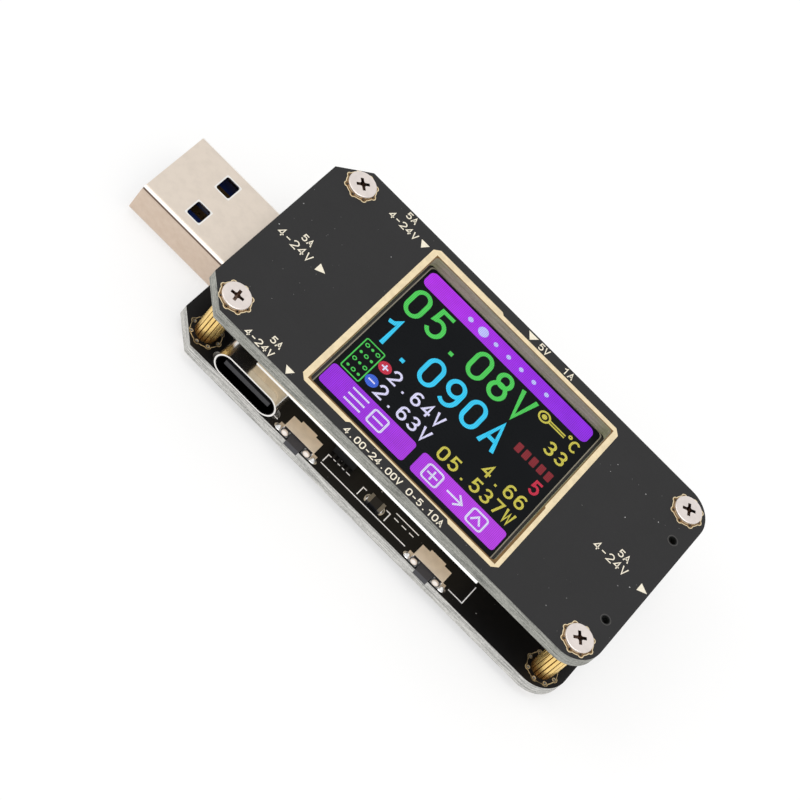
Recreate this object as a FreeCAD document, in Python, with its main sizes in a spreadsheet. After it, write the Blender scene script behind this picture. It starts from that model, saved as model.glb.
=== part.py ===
import FreeCAD, Part
import math
import os
import Sketcher
from FreeCAD import Placement, Rotation, Vector

# A pocket USB power meter: a front panel and a main board held apart by four
# brass posts, a colour display under the panel's window, a USB-A plug at the
# -X end, a USB-A socket at the +X end, a USB-C socket on each long edge, a
# micro socket on the +Y edge and two side-push buttons on each long edge.
# +X runs from the plug to the socket, +Y to the far edge, +Z out of the panel.
# The origin is the middle of the footprint, on the plane the meter rests on.
# All sizes are in millimetres.

DIMENSIONS = {
    # boards and the heights they stand at
    "board_length": 58.4,
    "board_width": 30.5,
    "board_thick": 1.6,
    "board_gap": 6.1,
    "board_centre": 6.4,
    "corner_radius": 3.8,
    "corner_chamfer": 3.5,
    # posts, screws and the plated vias round them
    "post_left": -19.15,
    "post_right": 32.8,
    "post_side": 12.4,
    "post_diameter": 2.8,
    "post_knurl_depth": 0.1,
    "post_bore": 2.0,
    "screw_hole": 2.3,
    "screw_shank": 1.9,
    "screw_reach": 2.6,
    "front_head_diameter": 3.55,
    "front_head_height": 0.45,
    "front_head_round": 0.12,
    "rear_head_diameter": 3.5,
    "rear_head_height": 1.3,
    "rear_head_round": 0.7,
    "recess_span": 1.7,
    "recess_width": 0.4,
    "recess_depth": 0.75,
    "recess_core": 0.75,
    "rear_recess_depth": 0.6,
    "far_left_turn": 47,
    "near_left_turn": 8,
    "far_right_turn": 28,
    "near_right_turn": 40,
    "via_ring": 1.8,
    "via_diameter": 0.3,
    "marker_hole": 1.0,
    "marker_along": 33.7,
    "marker_side": 7.65,
    # window and display module
    "window_length": 27.9,
    "window_width": 26.05,
    "window_centre": 6.5,
    "window_radius": 0.5,
    "tape_thick": 0.1,
    "tape_margin": 0.3,
    "module_left": -12.6,
    "module_length": 33.55,
    "module_width": 28.4,
    "module_offset": 0.3,
    "module_thick": 2.0,
    "glass_length": 27.0,
    "glass_width": 25.4,
    "glass_radius": 0.6,
    "glass_thick": 1.1,
    "glass_clearance": 0.04,
    "sheet_thick": 0.1,
    "sheet_margin": 0.1,
    "flex_width": 11.0,
    "flex_thick": 0.12,
    "flex_low": 3.55,
    "flex_high": 7.6,
    "flex_straight": 0.4,
    "flex_tail": 3.0,
    "connector_along": 2.6,
    "connector_length": 3.2,
    "connector_side": 0.9,
    "connector_height": 1.2,
    # USB-A plug, sunk into a notch of the main board
    "plug_front": -35.6,
    "plug_length": 19.2,
    "plug_width": 12.0,
    "plug_height": 4.5,
    "plug_radius": 0.8,
    "plug_wall": 0.3,
    "plug_window_start": 5.15,
    "plug_window_length": 1.95,
    "plug_window_width": 2.45,
    "plug_window_side": 2.82,
    "plug_window_radius": 0.3,
    "plug_tongue_width": 11.1,
    "plug_tongue_start": 0.6,
    "plug_block_start": 12.0,
    "plug_block_inset": 0.2,
    "plug_foot_along": 2.6,
    "plug_foot_out": 0.5,
    "plug_foot_length": 2.2,
    "plug_foot_width": 1.4,
    "plug_tail": 1.6,
    "outer_contact_start": 1.4,
    "inner_contact_start": 2.4,
    "rest_gap": 0.02,
    "notch_length": 6.6,
    "notch_width": 12.4,
    "contact_thick": 0.15,
    "contact_width": 1.0,
    "contact_inner": 1.0,
    "contact_outer": 3.5,
    # USB-A socket, standing on the main board
    "socket_length": 14.0,
    "socket_inset": 0.1,
    "socket_width": 13.1,
    "socket_height": 5.72,
    "socket_radius": 0.5,
    "socket_wall": 0.3,
    "socket_tongue_thick": 1.84,
    "socket_tongue_drop": 0.65,
    "socket_tongue_reach": 12.9,
    "socket_block_length": 4.6,
    "socket_tail_behind": 0.8,
    "socket_lift": 0.05,
    "socket_block_inset": 0.3,
    "socket_block_gap": 0.1,
    "socket_side_gap": 0.15,
    "socket_contact_thick": 0.2,
    "socket_slot_slack": 0.05,
    "socket_contact_short": 0.8,
    "socket_tail_width": 0.7,
    "socket_leg_back": 5.2,
    "socket_leg_length": 1.8,
    "socket_leg_root": 0.5,
    "shield_hole": 2.3,
    "pin_hole": 1.2,
    "tail_end": 0.3,
    # USB-C sockets
    "typec_centre": -11.9,
    "typec_width": 8.94,
    "typec_height": 3.26,
    "typec_radius": 1.6,
    "typec_wall": 0.32,
    "typec_length": 7.3,
    "typec_lift": 0.13,
    "typec_tongue_width": 6.69,
    "typec_tongue_thick": 0.7,
    "typec_tongue_recess": 0.4,
    "typec_pitch": 0.5,
    "typec_leg_length": 1.1,
    "typec_leg_spread": 3.9,
    "typec_leg_back": 1.6,
    "typec_leg_through": 0.3,
    "typec_leg_slack": 0.3,
    "typec_block_inset": 0.1,
    "typec_block_length": 2.6,
    "typec_block_slack": 0.17,
    "typec_neck_length": 1.0,
    "typec_neck_thick": 1.24,
    "typec_contact_width": 0.26,
    "typec_contact_thick": 0.04,
    "typec_contact_start": 0.45,
    "typec_contact_short": 0.5,
    "typec_lead_along": 0.6,
    "mouth_proud": 0.05,
    "lead_length": 0.9,
    "lead_thick": 0.15,
    # micro socket
    "micro_centre": 6.55,
    "micro_width": 7.5,
    "micro_base": 5.6,
    "micro_height": 2.6,
    "micro_wall": 0.25,
    "micro_length": 5.0,
    "micro_pitch": 0.65,
    "micro_lift": 0.05,
    "micro_block_back": 0.7,
    "micro_block_length": 1.2,
    "micro_block_slack": 1.0,
    "micro_tongue_back": 2.3,
    "micro_tongue_length": 4.2,
    "micro_tongue_width": 3.6,
    "micro_tongue_thick": 0.6,
    "micro_tongue_drop": 0.9,
    "micro_contact_back": 2.7,
    "micro_contact_length": 2.6,
    "micro_contact_width": 0.3,
    "micro_contact_thick": 0.08,
    "micro_lead_back": 0.55,
    # side-push buttons
    "button_left": -3.6,
    "button_right": 16.2,
    "button_width": 1.9,
    "button_flange": 2.7,
    "button_low": 0.35,
    "button_tall": 0.78,
    "button_proud": 0.85,
    "button_travel": 0.25,
    "switch_face": 0.3,
    "switch_width": 4.42,
    "switch_depth": 1.85,
    "switch_height": 1.38,
    "switch_wall": 0.35,
    "cover_thick": 0.12,
    "cover_inset": 0.08,
    "cover_tab": 0.36,
    "cover_wall_length": 1.6,
    "cover_flap_width": 1.1,
    "cover_flap_height": 1.1,
    "cover_boss_along": 1.64,
    "cover_boss_height": 0.68,
    "cover_boss_diameter": 0.84,
    "cover_boss_proud": 0.14,
    "cover_foot_out": 0.25,
    "cover_foot_along": 0.7,
    "cover_foot_width": 0.62,
    "cover_foot_length": 0.7,
    "stem_room_along": 0.4,
    "stem_room_length": 0.9,
    "flange_thick": 0.3,
    "fine_gap": 0.03,
    # the circuit between the boards: where each part's middle is, then its sizes
    "mcu_along": 4.2,
    "mcu_across": 0.2,
    "mcu_side": 7.0,
    "mcu_tall": 1.4,
    "mcu_pitch": 0.5,
    "sense_along": 15.6,
    "sense_across": 4.6,
    "sense_side": 3.0,
    "sense_tall": 0.9,
    "memory_along": 1.35,
    "memory_across": -10.4,
    "memory_length": 3.2,
    "memory_width": 2.6,
    "memory_tall": 1.1,
    "chip_pitch": 0.65,
    "regulator_along": -2.6,
    "regulator_across": 7.2,
    "regulator_length": 4.5,
    "regulator_width": 2.5,
    "regulator_tall": 1.5,
    "regulator_pitch": 1.5,
    "chip_lift": 0.1,
    "chip_lead_reach": 1.6,
    "chip_lead_thick": 0.2,
    "shunt_along": 14.6,
    "shunt_across": -3.0,
    "shunt_length": 3.2,
    "shunt_width": 6.4,
    "shunt_tall": 0.6,
    "crystal_along": -3.4,
    "crystal_across": -5.6,
    "crystal_length": 3.2,
    "crystal_width": 2.5,
    "crystal_tall": 0.8,
    "inductor_along": 0.8,
    "inductor_across": 11.2,
    "inductor_side": 3.6,
    "inductor_tall": 2.0,
    "capacitor_length": 3.2,
    "capacitor_width": 1.6,
    "capacitor_tall": 1.4,
    "resistor_length": 2.0,
    "resistor_width": 1.25,
    "resistor_tall": 0.5,
}

SIDES = (-1, 1)
POST_RIDGES = 17
GROOVE_SHARE = 0.32
VIA_COUNT = 8
TYPEC_CONTACTS = 12
MICRO_CONTACTS = 5
LEAD_SHARE = 0.45
MICRO_SLOPE = 0.6
MICRO_SHOULDER = 0.1
CAPACITOR_SPOTS = [(18.2, -8.8), (11.6, 8.6), (-5.0, 2.4)]
RESISTOR_SPOTS = [(7.2, -12.85), (5.4, -7.4), (8.4, -7.4), (11.0, -9.4), (10.2, 5.6), (-1.6, 2.6)]

doc = FreeCAD.newDocument("power_meter")
sheet = doc.addObject("Spreadsheet::Sheet", "dims")
for row, (alias, number) in enumerate(DIMENSIONS.items(), start=1):
    sheet.set(f"A{row}", alias)
    sheet.set(f"B{row}", str(number))
    sheet.setAlias(f"B{row}", alias)
doc.recompute()


class Size:
    """A length that holds its value and its formula over the sheet."""

    def __init__(self, value, text=None):
        self.value = float(value)
        self.text = text or f"{float(value):.6g}"

    def joined(self, sign, other, value):
        return Size(value, f"({self.text} {sign} {other.text})")

    def __add__(self, other):
        other = size(other)
        return self.joined("+", other, self.value + other.value)

    def __sub__(self, other):
        other = size(other)
        return self.joined("-", other, self.value - other.value)

    def __mul__(self, other):
        other = size(other)
        return self.joined("*", other, self.value * other.value)

    def __truediv__(self, other):
        other = size(other)
        return self.joined("/", other, self.value / other.value)

    def __radd__(self, other):
        return size(other) + self

    def __rsub__(self, other):
        return size(other) - self

    def __rmul__(self, other):
        return size(other) * self

    def __neg__(self):
        return size(0) - self

    def __float__(self):
        return self.value


class Dimensions:
    """Gives each alias of the sheet as a Size."""

    def __getattr__(self, alias):
        return Size(sheet.get(alias), "dims." + alias)


def size(number):
    """A plain number as a Size."""
    return number if isinstance(number, Size) else Size(number)


D = Dimensions()
BOARD_LOW = D.rear_head_height
BOARD_TOP = BOARD_LOW + D.board_thick
PANEL_LOW = BOARD_TOP + D.board_gap
PANEL_TOP = PANEL_LOW + D.board_thick
EDGE = D.board_width / 2
LEFT_END = D.board_centre - D.board_length / 2
RIGHT_END = D.board_centre + D.board_length / 2
POSTS = [(x, side * D.post_side) for x in (D.post_left, D.post_right) for side in SIDES]
SUBPARTS = []


# ------------------------------------------------------------ object helpers

def bind(item, path, length):
    """Ties one property of an object to the sheet."""
    item.setExpression(path, size(length).text)


def place(item, x, y, z):
    """Ties an object's position to the sheet."""
    for axis, length in zip("xyz", (x, y, z)):
        bind(item, "Placement.Base." + axis, length)
    return item


def publish(item, label):
    """Names an object as one sub-part of the meter."""
    item.Label = label
    SUBPARTS.append(item)
    return item


def block(x, y, z, length, width, height):
    """A box from its lowest corner and its three sizes."""
    item = doc.addObject("Part::Box", "block")
    bind(item, "Length", length)
    bind(item, "Width", width)
    bind(item, "Height", height)
    return place(item, x, y, z)


def slab(x, y, z, length, width, height):
    """A box from the middle of its foot and its three sizes."""
    return block(x - size(length) / 2, y - size(width) / 2, z, length, width, height)


def rod(x, y, z, diameter, height):
    """An upright cylinder from the middle of its foot."""
    item = doc.addObject("Part::Cylinder", "rod")
    bind(item, "Radius", size(diameter) / 2)
    bind(item, "Height", height)
    return place(item, x, y, z)


def fuse(*pieces):
    """One solid from several that touch."""
    item = doc.addObject("Part::MultiFuse", "fused")
    item.Shapes = list(pieces)
    item.Refine = True
    return item


def cut(base, *tools):
    """A base with its tools taken out of it."""
    item = doc.addObject("Part::Cut", "carved")
    item.Base = base
    item.Tool = tools[0] if len(tools) == 1 else group(tools)
    return item


def group(pieces):
    """Several separate solids held as one object."""
    item = doc.addObject("Part::Compound", "gathered")
    item.Links = list(pieces)
    return item


def shifted(source, x, y):
    """A copy of an object, moved along the boards."""
    return place(group([source]), x, y, 0)


def turned(source, about):
    """A copy turned to the other long edge, about an upright axis at x = about."""
    item = group([source])
    item.Placement = Placement(Vector(0, 0, 0), Rotation(Vector(0, 0, 1), 180))
    bind(item, "Placement.Base.x", 2 * about)
    return item


def rounded_ends(base, level, radius):
    """Rounds the round edges of an upright turned piece that lie at one height."""
    doc.recompute()
    picked = [(number, float(radius), float(radius))
              for number, edge in enumerate(base.Shape.Edges, start=1)
              if abs(edge.BoundBox.ZMin - float(level)) < 1e-6
              and abs(edge.BoundBox.ZMax - float(level)) < 1e-6]
    item = doc.addObject("Part::Fillet", "rounded")
    item.Base = base
    item.Edges = picked
    return item


# ------------------------------------------------------- sketched body helpers

def new_body(name, x=0, y=0, z=0):
    """A part design body whose sketches lie on its own base plane."""
    return place(doc.addObject("PartDesign::Body", name), x, y, z)


def new_sketch(body, name):
    """A sketch on the body's horizontal plane."""
    sketch = body.newObject("Sketcher::SketchObject", name)
    plane = next(item for item in body.Origin.OriginFeatures if item.Role == "XY_Plane")
    sketch.AttachmentSupport = [(plane, "")]
    sketch.MapMode = "FlatFace"
    return sketch


def measure(sketch, kind, points, length):
    """A dimension in a sketch, tied to the sheet."""
    index = sketch.addConstraint(Sketcher.Constraint(kind, *points, float(length)))
    name = f"size_{index}"
    sketch.renameConstraint(index, name)
    sketch.setExpression("Constraints." + name, size(length).text)


def from_origin(sketch, geometry, point, x, y):
    """Places one point of a sketch from the sketch's origin."""
    measure(sketch, "DistanceX", (-1, 1, geometry, point), x)
    measure(sketch, "DistanceY", (-1, 1, geometry, point), y)


def draw_rectangle(sketch, x, y, length, width):
    """A rectangle about a middle point."""
    low = Vector(float(x - size(length) / 2), float(y - size(width) / 2))
    high = Vector(float(x + size(length) / 2), float(y + size(width) / 2))
    corners = [low, Vector(high.x, low.y), high, Vector(low.x, high.y)]
    sides = [Part.LineSegment(start, end) for start, end in zip(corners, corners[1:] + corners[:1])]
    first = sketch.addGeometry(sides)[0]
    for step in range(4):
        after = first + (step + 1) % 4
        sketch.addConstraint(Sketcher.Constraint("Coincident", first + step, 2, after, 1))
    for step, kind in enumerate(("Horizontal", "Vertical", "Horizontal", "Vertical")):
        sketch.addConstraint(Sketcher.Constraint(kind, first + step))
    from_origin(sketch, first, 1, x - size(length) / 2, y - size(width) / 2)
    measure(sketch, "DistanceX", (first, 1, first, 2), length)
    measure(sketch, "DistanceY", (first + 1, 1, first + 1, 2), width)


def draw_rounded(sketch, x, y, length, width, radius):
    """A rectangle with four equal round corners, about a middle point."""
    half_x = float(length) / 2
    half_y = float(width) / 2
    bend = float(radius)
    middle = Vector(float(size(x)), float(size(y)))
    quarter = math.pi / 2
    pieces = []
    for step, (way_x, way_y) in enumerate(((1, -1), (1, 1), (-1, 1), (-1, -1))):
        centre = middle + Vector(way_x * (half_x - bend), way_y * (half_y - bend))
        circle = Part.Circle(centre, Vector(0, 0, 1), bend)
        pieces.append(Part.ArcOfCircle(circle, (step - 1) * quarter, step * quarter))
    shape = []
    for step, arc in enumerate(pieces):
        before = pieces[step - 1]
        shape += [Part.LineSegment(before.EndPoint, arc.StartPoint), arc]
    first = sketch.addGeometry(shape)[0]
    for step in range(8):
        after = first + (step + 1) % 8
        sketch.addConstraint(Sketcher.Constraint("Tangent", first + step, 2, after, 1))
    sketch.addConstraint(Sketcher.Constraint("Horizontal", first))
    sketch.addConstraint(Sketcher.Constraint("Vertical", first + 2))
    for step in (3, 5, 7):
        sketch.addConstraint(Sketcher.Constraint("Equal", first + 1, first + step))
    measure(sketch, "Radius", (first + 1,), radius)
    measure(sketch, "DistanceX", (first + 7, 3, first + 1, 3), length - 2 * radius)
    measure(sketch, "DistanceY", (first + 1, 3, first + 3, 3), width - 2 * radius)
    from_origin(sketch, first + 1, 3, x + length / 2 - radius, y - width / 2 + radius)


def pad(body, sketch, height):
    """Raises a sketch into a solid."""
    item = body.newObject("PartDesign::Pad", "pad")
    item.Profile = sketch
    bind(item, "Length", height)
    sketch.Visibility = False
    doc.recompute()
    return item


def pocket(body, sketch, depth=None):
    """Sinks a sketch up through the body from its base plane, or to a depth."""
    before = body.Shape.Volume
    item = body.newObject("PartDesign::Pocket", "pocket")
    item.Profile = sketch
    item.Reversed = True
    if depth is None:
        item.Type = "ThroughAll"
    else:
        bind(item, "Length", depth)
    doc.recompute()
    if body.Shape.Volume >= before:
        raise RuntimeError(f"{sketch.Label} cut nothing")
    return item


def drill(body, name, spots, diameter):
    """Round holes through the body, all of one size."""
    sketch = new_sketch(body, name)
    for number, (x, y) in enumerate(spots):
        centre = Vector(float(x), float(y))
        circle = Part.Circle(centre, Vector(0, 0, 1), float(diameter) / 2)
        geometry = sketch.addGeometry(circle)
        from_origin(sketch, geometry, 3, x, y)
        if number:
            sketch.addConstraint(Sketcher.Constraint("Equal", 0, geometry))
    measure(sketch, "Diameter", (0,), diameter)
    pocket(body, sketch)


def upright_edges(body, x):
    """The names of the body's upright edges at one place along X."""
    return [f"Edge{number}" for number, edge in enumerate(body.Shape.Edges, start=1)
            if edge.BoundBox.XLength < 1e-6 and edge.BoundBox.YLength < 1e-6
            and abs(edge.BoundBox.XMin - float(x)) < 1e-6]


def shape_corners(body, kind, x, prop, length):
    """Chamfers or rounds the upright corners at one end of a board."""
    base = body.Tip
    item = body.newObject("PartDesign::" + kind, kind.lower())
    item.Base = (base, upright_edges(body, x))
    bind(item, prop, length)
    doc.recompute()


def tube(name, width, height, radius, wall, length):
    """A thin sleeve with round corners, its length along the body's own Z."""
    body = new_body(name)
    sketch = new_sketch(body, name + "_section")
    draw_rounded(sketch, size(0), size(0), width, height, radius)
    draw_rounded(sketch, size(0), size(0), width - 2 * wall, height - 2 * wall, radius - wall)
    pad(body, sketch, length)
    return body


# --------------------------------------------------------------------- boards

def via_spots(x, y):
    """The middles of the plated vias round one post."""
    spots = []
    for number in range(VIA_COUNT):
        turn = 2 * math.pi * number / VIA_COUNT
        spots.append((x + D.via_ring * math.cos(turn), y + D.via_ring * math.sin(turn)))
    return spots


def board(name, level):
    """The outline both boards share, with their screw holes and vias."""
    body = new_body(name, 0, 0, level)
    outline = new_sketch(body, name + "_outline")
    draw_rectangle(outline, D.board_centre, size(0), D.board_length, D.board_width)
    pad(body, outline, D.board_thick)
    shape_corners(body, "Chamfer", LEFT_END, "Size", D.corner_chamfer)
    shape_corners(body, "Fillet", RIGHT_END, "Radius", D.corner_radius)
    drill(body, name + "_screw_holes", POSTS, D.screw_hole)
    vias = [spot for x, y in POSTS for spot in via_spots(x, y)]
    drill(body, name + "_vias", vias, D.via_diameter)
    return body


def front_panel():
    """The panel that frames the display."""
    body = board("panel", PANEL_LOW)
    window = new_sketch(body, "panel_window")
    draw_rounded(window, D.window_centre, size(0), D.window_length, D.window_width, D.window_radius)
    pocket(body, window)
    drill(body, "panel_marker_holes", [(D.marker_along, side * D.marker_side) for side in SIDES],
          D.marker_hole)
    publish(body, "front_panel")


def main_board():
    """The board that carries the connectors and the circuit."""
    body = board("board", BOARD_LOW)
    notch = new_sketch(body, "board_notch")
    draw_rectangle(notch, LEFT_END, size(0), 2 * D.notch_length, D.notch_width)
    pocket(body, notch)
    tail_x = RIGHT_END - D.socket_inset - D.socket_length - D.socket_tail_behind
    drill(body, "board_pin_holes", [(tail_x, y) for y in contact_rows()], D.pin_hole)
    drill(body, "board_shield_holes", [(socket_leg_x(), side * socket_leg_y()) for side in SIDES],
          D.shield_hole)
    legs = [(x, edge * y) for edge in SIDES for x, y in typec_leg_spots()]
    drill(body, "board_typec_holes", legs, D.typec_leg_length + D.typec_leg_slack)
    publish(body, "main_board")


# ---------------------------------------------------------- posts and screws

def ridged_outline(ridges, crest, root):
    """The closed outline of a straight knurl: broad crests with a narrow groove between them."""
    points = []
    flank = GROOVE_SHARE / 2
    for number in range(ridges):
        for share, reach in ((0, root), (flank, crest), (0.5, crest), (1 - flank, crest)):
            turn = 2 * math.pi * (number + share) / ridges
            points.append(Vector(reach * math.cos(turn), reach * math.sin(turn), 0))
    return Part.Face(Part.makePolygon(points + points[:1]))


def posts():
    """Four brass posts, knurled along their length and bored right through."""
    crest = float(D.post_diameter) / 2
    knurl = doc.addObject("Part::Feature", "post_knurl")
    outline = ridged_outline(POST_RIDGES, crest, crest - float(D.post_knurl_depth))
    knurl.Shape = outline.extrude(Vector(0, 0, float(D.board_gap)))
    knurl.Placement = Placement(Vector(0, 0, float(BOARD_TOP)), Rotation())
    post = cut(knurl, rod(0, 0, BOARD_TOP, D.post_bore, D.board_gap))
    publish(group([shifted(post, x, y) for x, y in POSTS]), "standoffs")


def cross_recess(level, depth):
    """The driver's cross: two crossing bars and a round core that start at a height."""
    return fuse(slab(0, 0, level, D.recess_span, D.recess_width, depth),
                slab(0, 0, level, D.recess_width, D.recess_span, depth),
                rod(0, 0, level, D.recess_core, depth))


def tightened(screw):
    """One screw in each post, each with its cross at the angle where it came tight."""
    turns = (D.near_left_turn, D.far_left_turn, D.near_right_turn, D.far_right_turn)
    screws_in_place = []
    for (x, y), turn in zip(POSTS, turns):
        item = shifted(screw, x, y)
        bind(item, "Placement.Rotation.Angle", turn)
        screws_in_place.append(item)
    return group(screws_in_place)


def screws():
    """Flat-headed screws into the panel and pan-headed ones from behind."""
    front = rounded_ends(rod(0, 0, PANEL_TOP, D.front_head_diameter, D.front_head_height),
                         PANEL_TOP + D.front_head_height, D.front_head_round)
    front_shank = rod(0, 0, PANEL_LOW - D.screw_reach, D.screw_shank, D.board_thick + D.screw_reach)
    cross_level = PANEL_TOP + D.front_head_height - D.recess_depth
    front = cut(fuse(front, front_shank), cross_recess(cross_level, D.recess_depth))
    publish(tightened(front), "front_screws")

    rear = rounded_ends(rod(0, 0, 0, D.rear_head_diameter, D.rear_head_height), 0, D.rear_head_round)
    rear_shank = rod(0, 0, BOARD_LOW, D.screw_shank, D.board_thick + D.screw_reach)
    rear = cut(fuse(rear, rear_shank), cross_recess(size(0), D.rear_recess_depth))
    publish(tightened(rear), "rear_screws")


# -------------------------------------------------------------------- display

def display():
    """The display module, stuck under the window, and its flex to the main board."""
    top = PANEL_LOW - D.tape_thick
    low = top - D.module_thick
    middle = D.module_left + D.module_length / 2
    module = (D.module_length, D.module_width)
    opening = (D.window_length + 2 * D.tape_margin, D.window_width + 2 * D.tape_margin)
    tape = slab(middle, D.module_offset, top, *module, D.tape_thick)
    tape_hole = slab(D.window_centre, 0, top, *opening, D.tape_thick)
    publish(cut(tape, tape_hole), "display_tape")

    tray = new_body("tray", 0, 0, low)
    outline = new_sketch(tray, "tray_outline")
    draw_rectangle(outline, middle, D.module_offset, *module)
    pad(tray, outline, D.module_thick)
    seat = new_body("seat", 0, 0, top - D.glass_thick)
    seat_outline = new_sketch(seat, "seat_outline")
    slack = 2 * D.glass_clearance
    draw_rounded(seat_outline, D.window_centre, D.module_offset, D.glass_length + slack,
                 D.glass_width + slack, D.glass_radius)
    pad(seat, seat_outline, D.glass_thick)
    publish(cut(tray, seat), "display_frame")

    glass = new_body("glass", 0, 0, top - D.glass_thick)
    glass_outline = new_sketch(glass, "glass_outline")
    draw_rounded(glass_outline, D.window_centre, D.module_offset, D.glass_length,
                 D.glass_width, D.glass_radius)
    pad(glass, glass_outline, D.glass_thick)
    publish(glass, "display_glass")

    sheet_low = low - D.sheet_thick
    back = slab(middle, D.module_offset, sheet_low, D.module_length - 2 * D.sheet_margin,
                D.module_width - 2 * D.sheet_margin, D.sheet_thick)
    publish(back, "display_back_sheet")


def flex_outline(thick):
    """The side view of the flex: two straight runs joined by a half turn."""
    low = float(D.flex_low)
    high = float(D.flex_high)
    end = float(D.module_left)
    turn = end - float(D.flex_straight)
    tip = end + float(D.flex_tail)
    middle = (low + high) / 2
    reach = (high - low) / 2

    def edge_path(offset):
        """One face of the flex, moved outwards by an offset."""
        bend = reach + offset
        upper = Vector(turn, 0, middle + bend)
        lower = Vector(turn, 0, middle - bend)
        crest = Vector(turn - bend, 0, middle)
        return [Part.makeLine(Vector(end, 0, upper.z), upper),
                Part.Arc(upper, crest, lower).toShape(),
                Part.makeLine(lower, Vector(tip, 0, lower.z))]

    inner = edge_path(0)
    outer = edge_path(thick)
    caps = [Part.makeLine(inner[0].Vertexes[0].Point, outer[0].Vertexes[0].Point),
            Part.makeLine(inner[2].Vertexes[1].Point, outer[2].Vertexes[1].Point)]
    return Part.Face(Part.Wire(Part.__sortEdges__(inner + outer + caps)))


def display_flex():
    """The flat ribbon that folds back from the display to its connector."""
    width = float(D.flex_width)
    flex = doc.addObject("Part::Feature", "flex")
    flex.Shape = flex_outline(float(D.flex_thick)).extrude(Vector(0, width, 0))
    flex.Placement = Placement(Vector(0, -width / 2, 0), Rotation())
    publish(flex, "display_flex")
    slot_low = D.flex_low - D.flex_thick - D.fine_gap
    housing = slab(D.module_left + D.connector_along, 0, BOARD_TOP, D.connector_length,
                   D.flex_width + 2 * D.connector_side, D.connector_height)
    slot = block(D.module_left, -D.flex_width / 2 - D.fine_gap, slot_low, D.connector_length,
                 D.flex_width + 2 * D.fine_gap, D.flex_thick + 2 * D.fine_gap)
    publish(cut(housing, slot), "display_connector")


# ---------------------------------------------------------------- USB-A plug

def contact_rows():
    """The four contact rows of a USB-A connector, across the width."""
    return [-D.contact_outer, -D.contact_inner, D.contact_inner, D.contact_outer]


def usb_plug():
    """The plug: shell, insulator with its tongue, and four straight contacts."""
    low = BOARD_TOP - D.plug_height / 2
    shell = tube("plug_sleeve", D.plug_width, D.plug_height, D.plug_radius, D.plug_wall,
                 D.plug_length)
    shell.Placement = Placement(Vector(0, 0, 0), Rotation(Vector(1, 1, 1), 120))
    place(shell, D.plug_front, 0, BOARD_TOP)
    windows = []
    for side, label in zip(SIDES, ("near", "far")):
        window = new_body("plug_window_" + label, 0, 0, low)
        outline = new_sketch(window, "plug_window_outline_" + label)
        draw_rounded(outline, D.plug_front + D.plug_window_start + D.plug_window_length / 2,
                     side * D.plug_window_side, D.plug_window_length, D.plug_window_width,
                     D.plug_window_radius)
        pad(window, outline, D.plug_height)
        windows.append(window)
    feet = []
    for side in SIDES:
        feet.append(slab(LEFT_END + D.plug_foot_along, side * (D.plug_width / 2 + D.plug_foot_out),
                         BOARD_TOP + D.rest_gap, D.plug_foot_length, D.plug_foot_width, D.plug_wall))
    cavity = slab(D.plug_front + D.plug_length / 2, 0, low + D.plug_wall, D.plug_length,
                  D.plug_width - 2 * D.plug_wall, D.plug_height - 2 * D.plug_wall)
    publish(cut(fuse(cut(shell, *windows), *feet), cavity), "usb_a_plug_shell")

    floor = low + D.plug_wall + D.fine_gap
    contact_low = BOARD_TOP + D.rest_gap
    block_start = D.plug_front + D.plug_block_start
    block_end = D.plug_front + D.plug_length - D.plug_block_inset
    tongue = slab((D.plug_front + D.plug_tongue_start + block_end) / 2, 0, floor,
                  block_end - D.plug_front - D.plug_tongue_start, D.plug_tongue_width,
                  contact_low - floor)
    rear = slab((block_start + block_end) / 2, 0, floor, block_end - block_start,
                D.plug_tongue_width, D.plug_height - 2 * (D.plug_wall + D.fine_gap))
    slots = [slab((block_start + block_end) / 2, y, contact_low, block_end - block_start,
                  D.contact_width + 2 * D.fine_gap, D.contact_thick + D.fine_gap)
             for y in contact_rows()]
    publish(cut(fuse(tongue, rear), *slots), "usb_a_plug_insulator")

    reach = D.plug_length + D.plug_tail
    starts = (D.outer_contact_start, D.inner_contact_start, D.inner_contact_start,
              D.outer_contact_start)
    contacts = []
    for y, start in zip(contact_rows(), starts):
        contacts.append(slab(D.plug_front + (reach + start) / 2, y, contact_low, reach - start,
                             D.contact_width, D.contact_thick))
    publish(group(contacts), "usb_a_plug_contacts")


# -------------------------------------------------------------- USB-A socket

def socket_leg_x():
    """Where the socket's shield legs stand along the board."""
    return RIGHT_END - D.socket_inset - D.socket_leg_back


def socket_leg_y():
    """How far out the socket's shield legs stand."""
    return D.socket_width / 2 - D.socket_wall / 2


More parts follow.
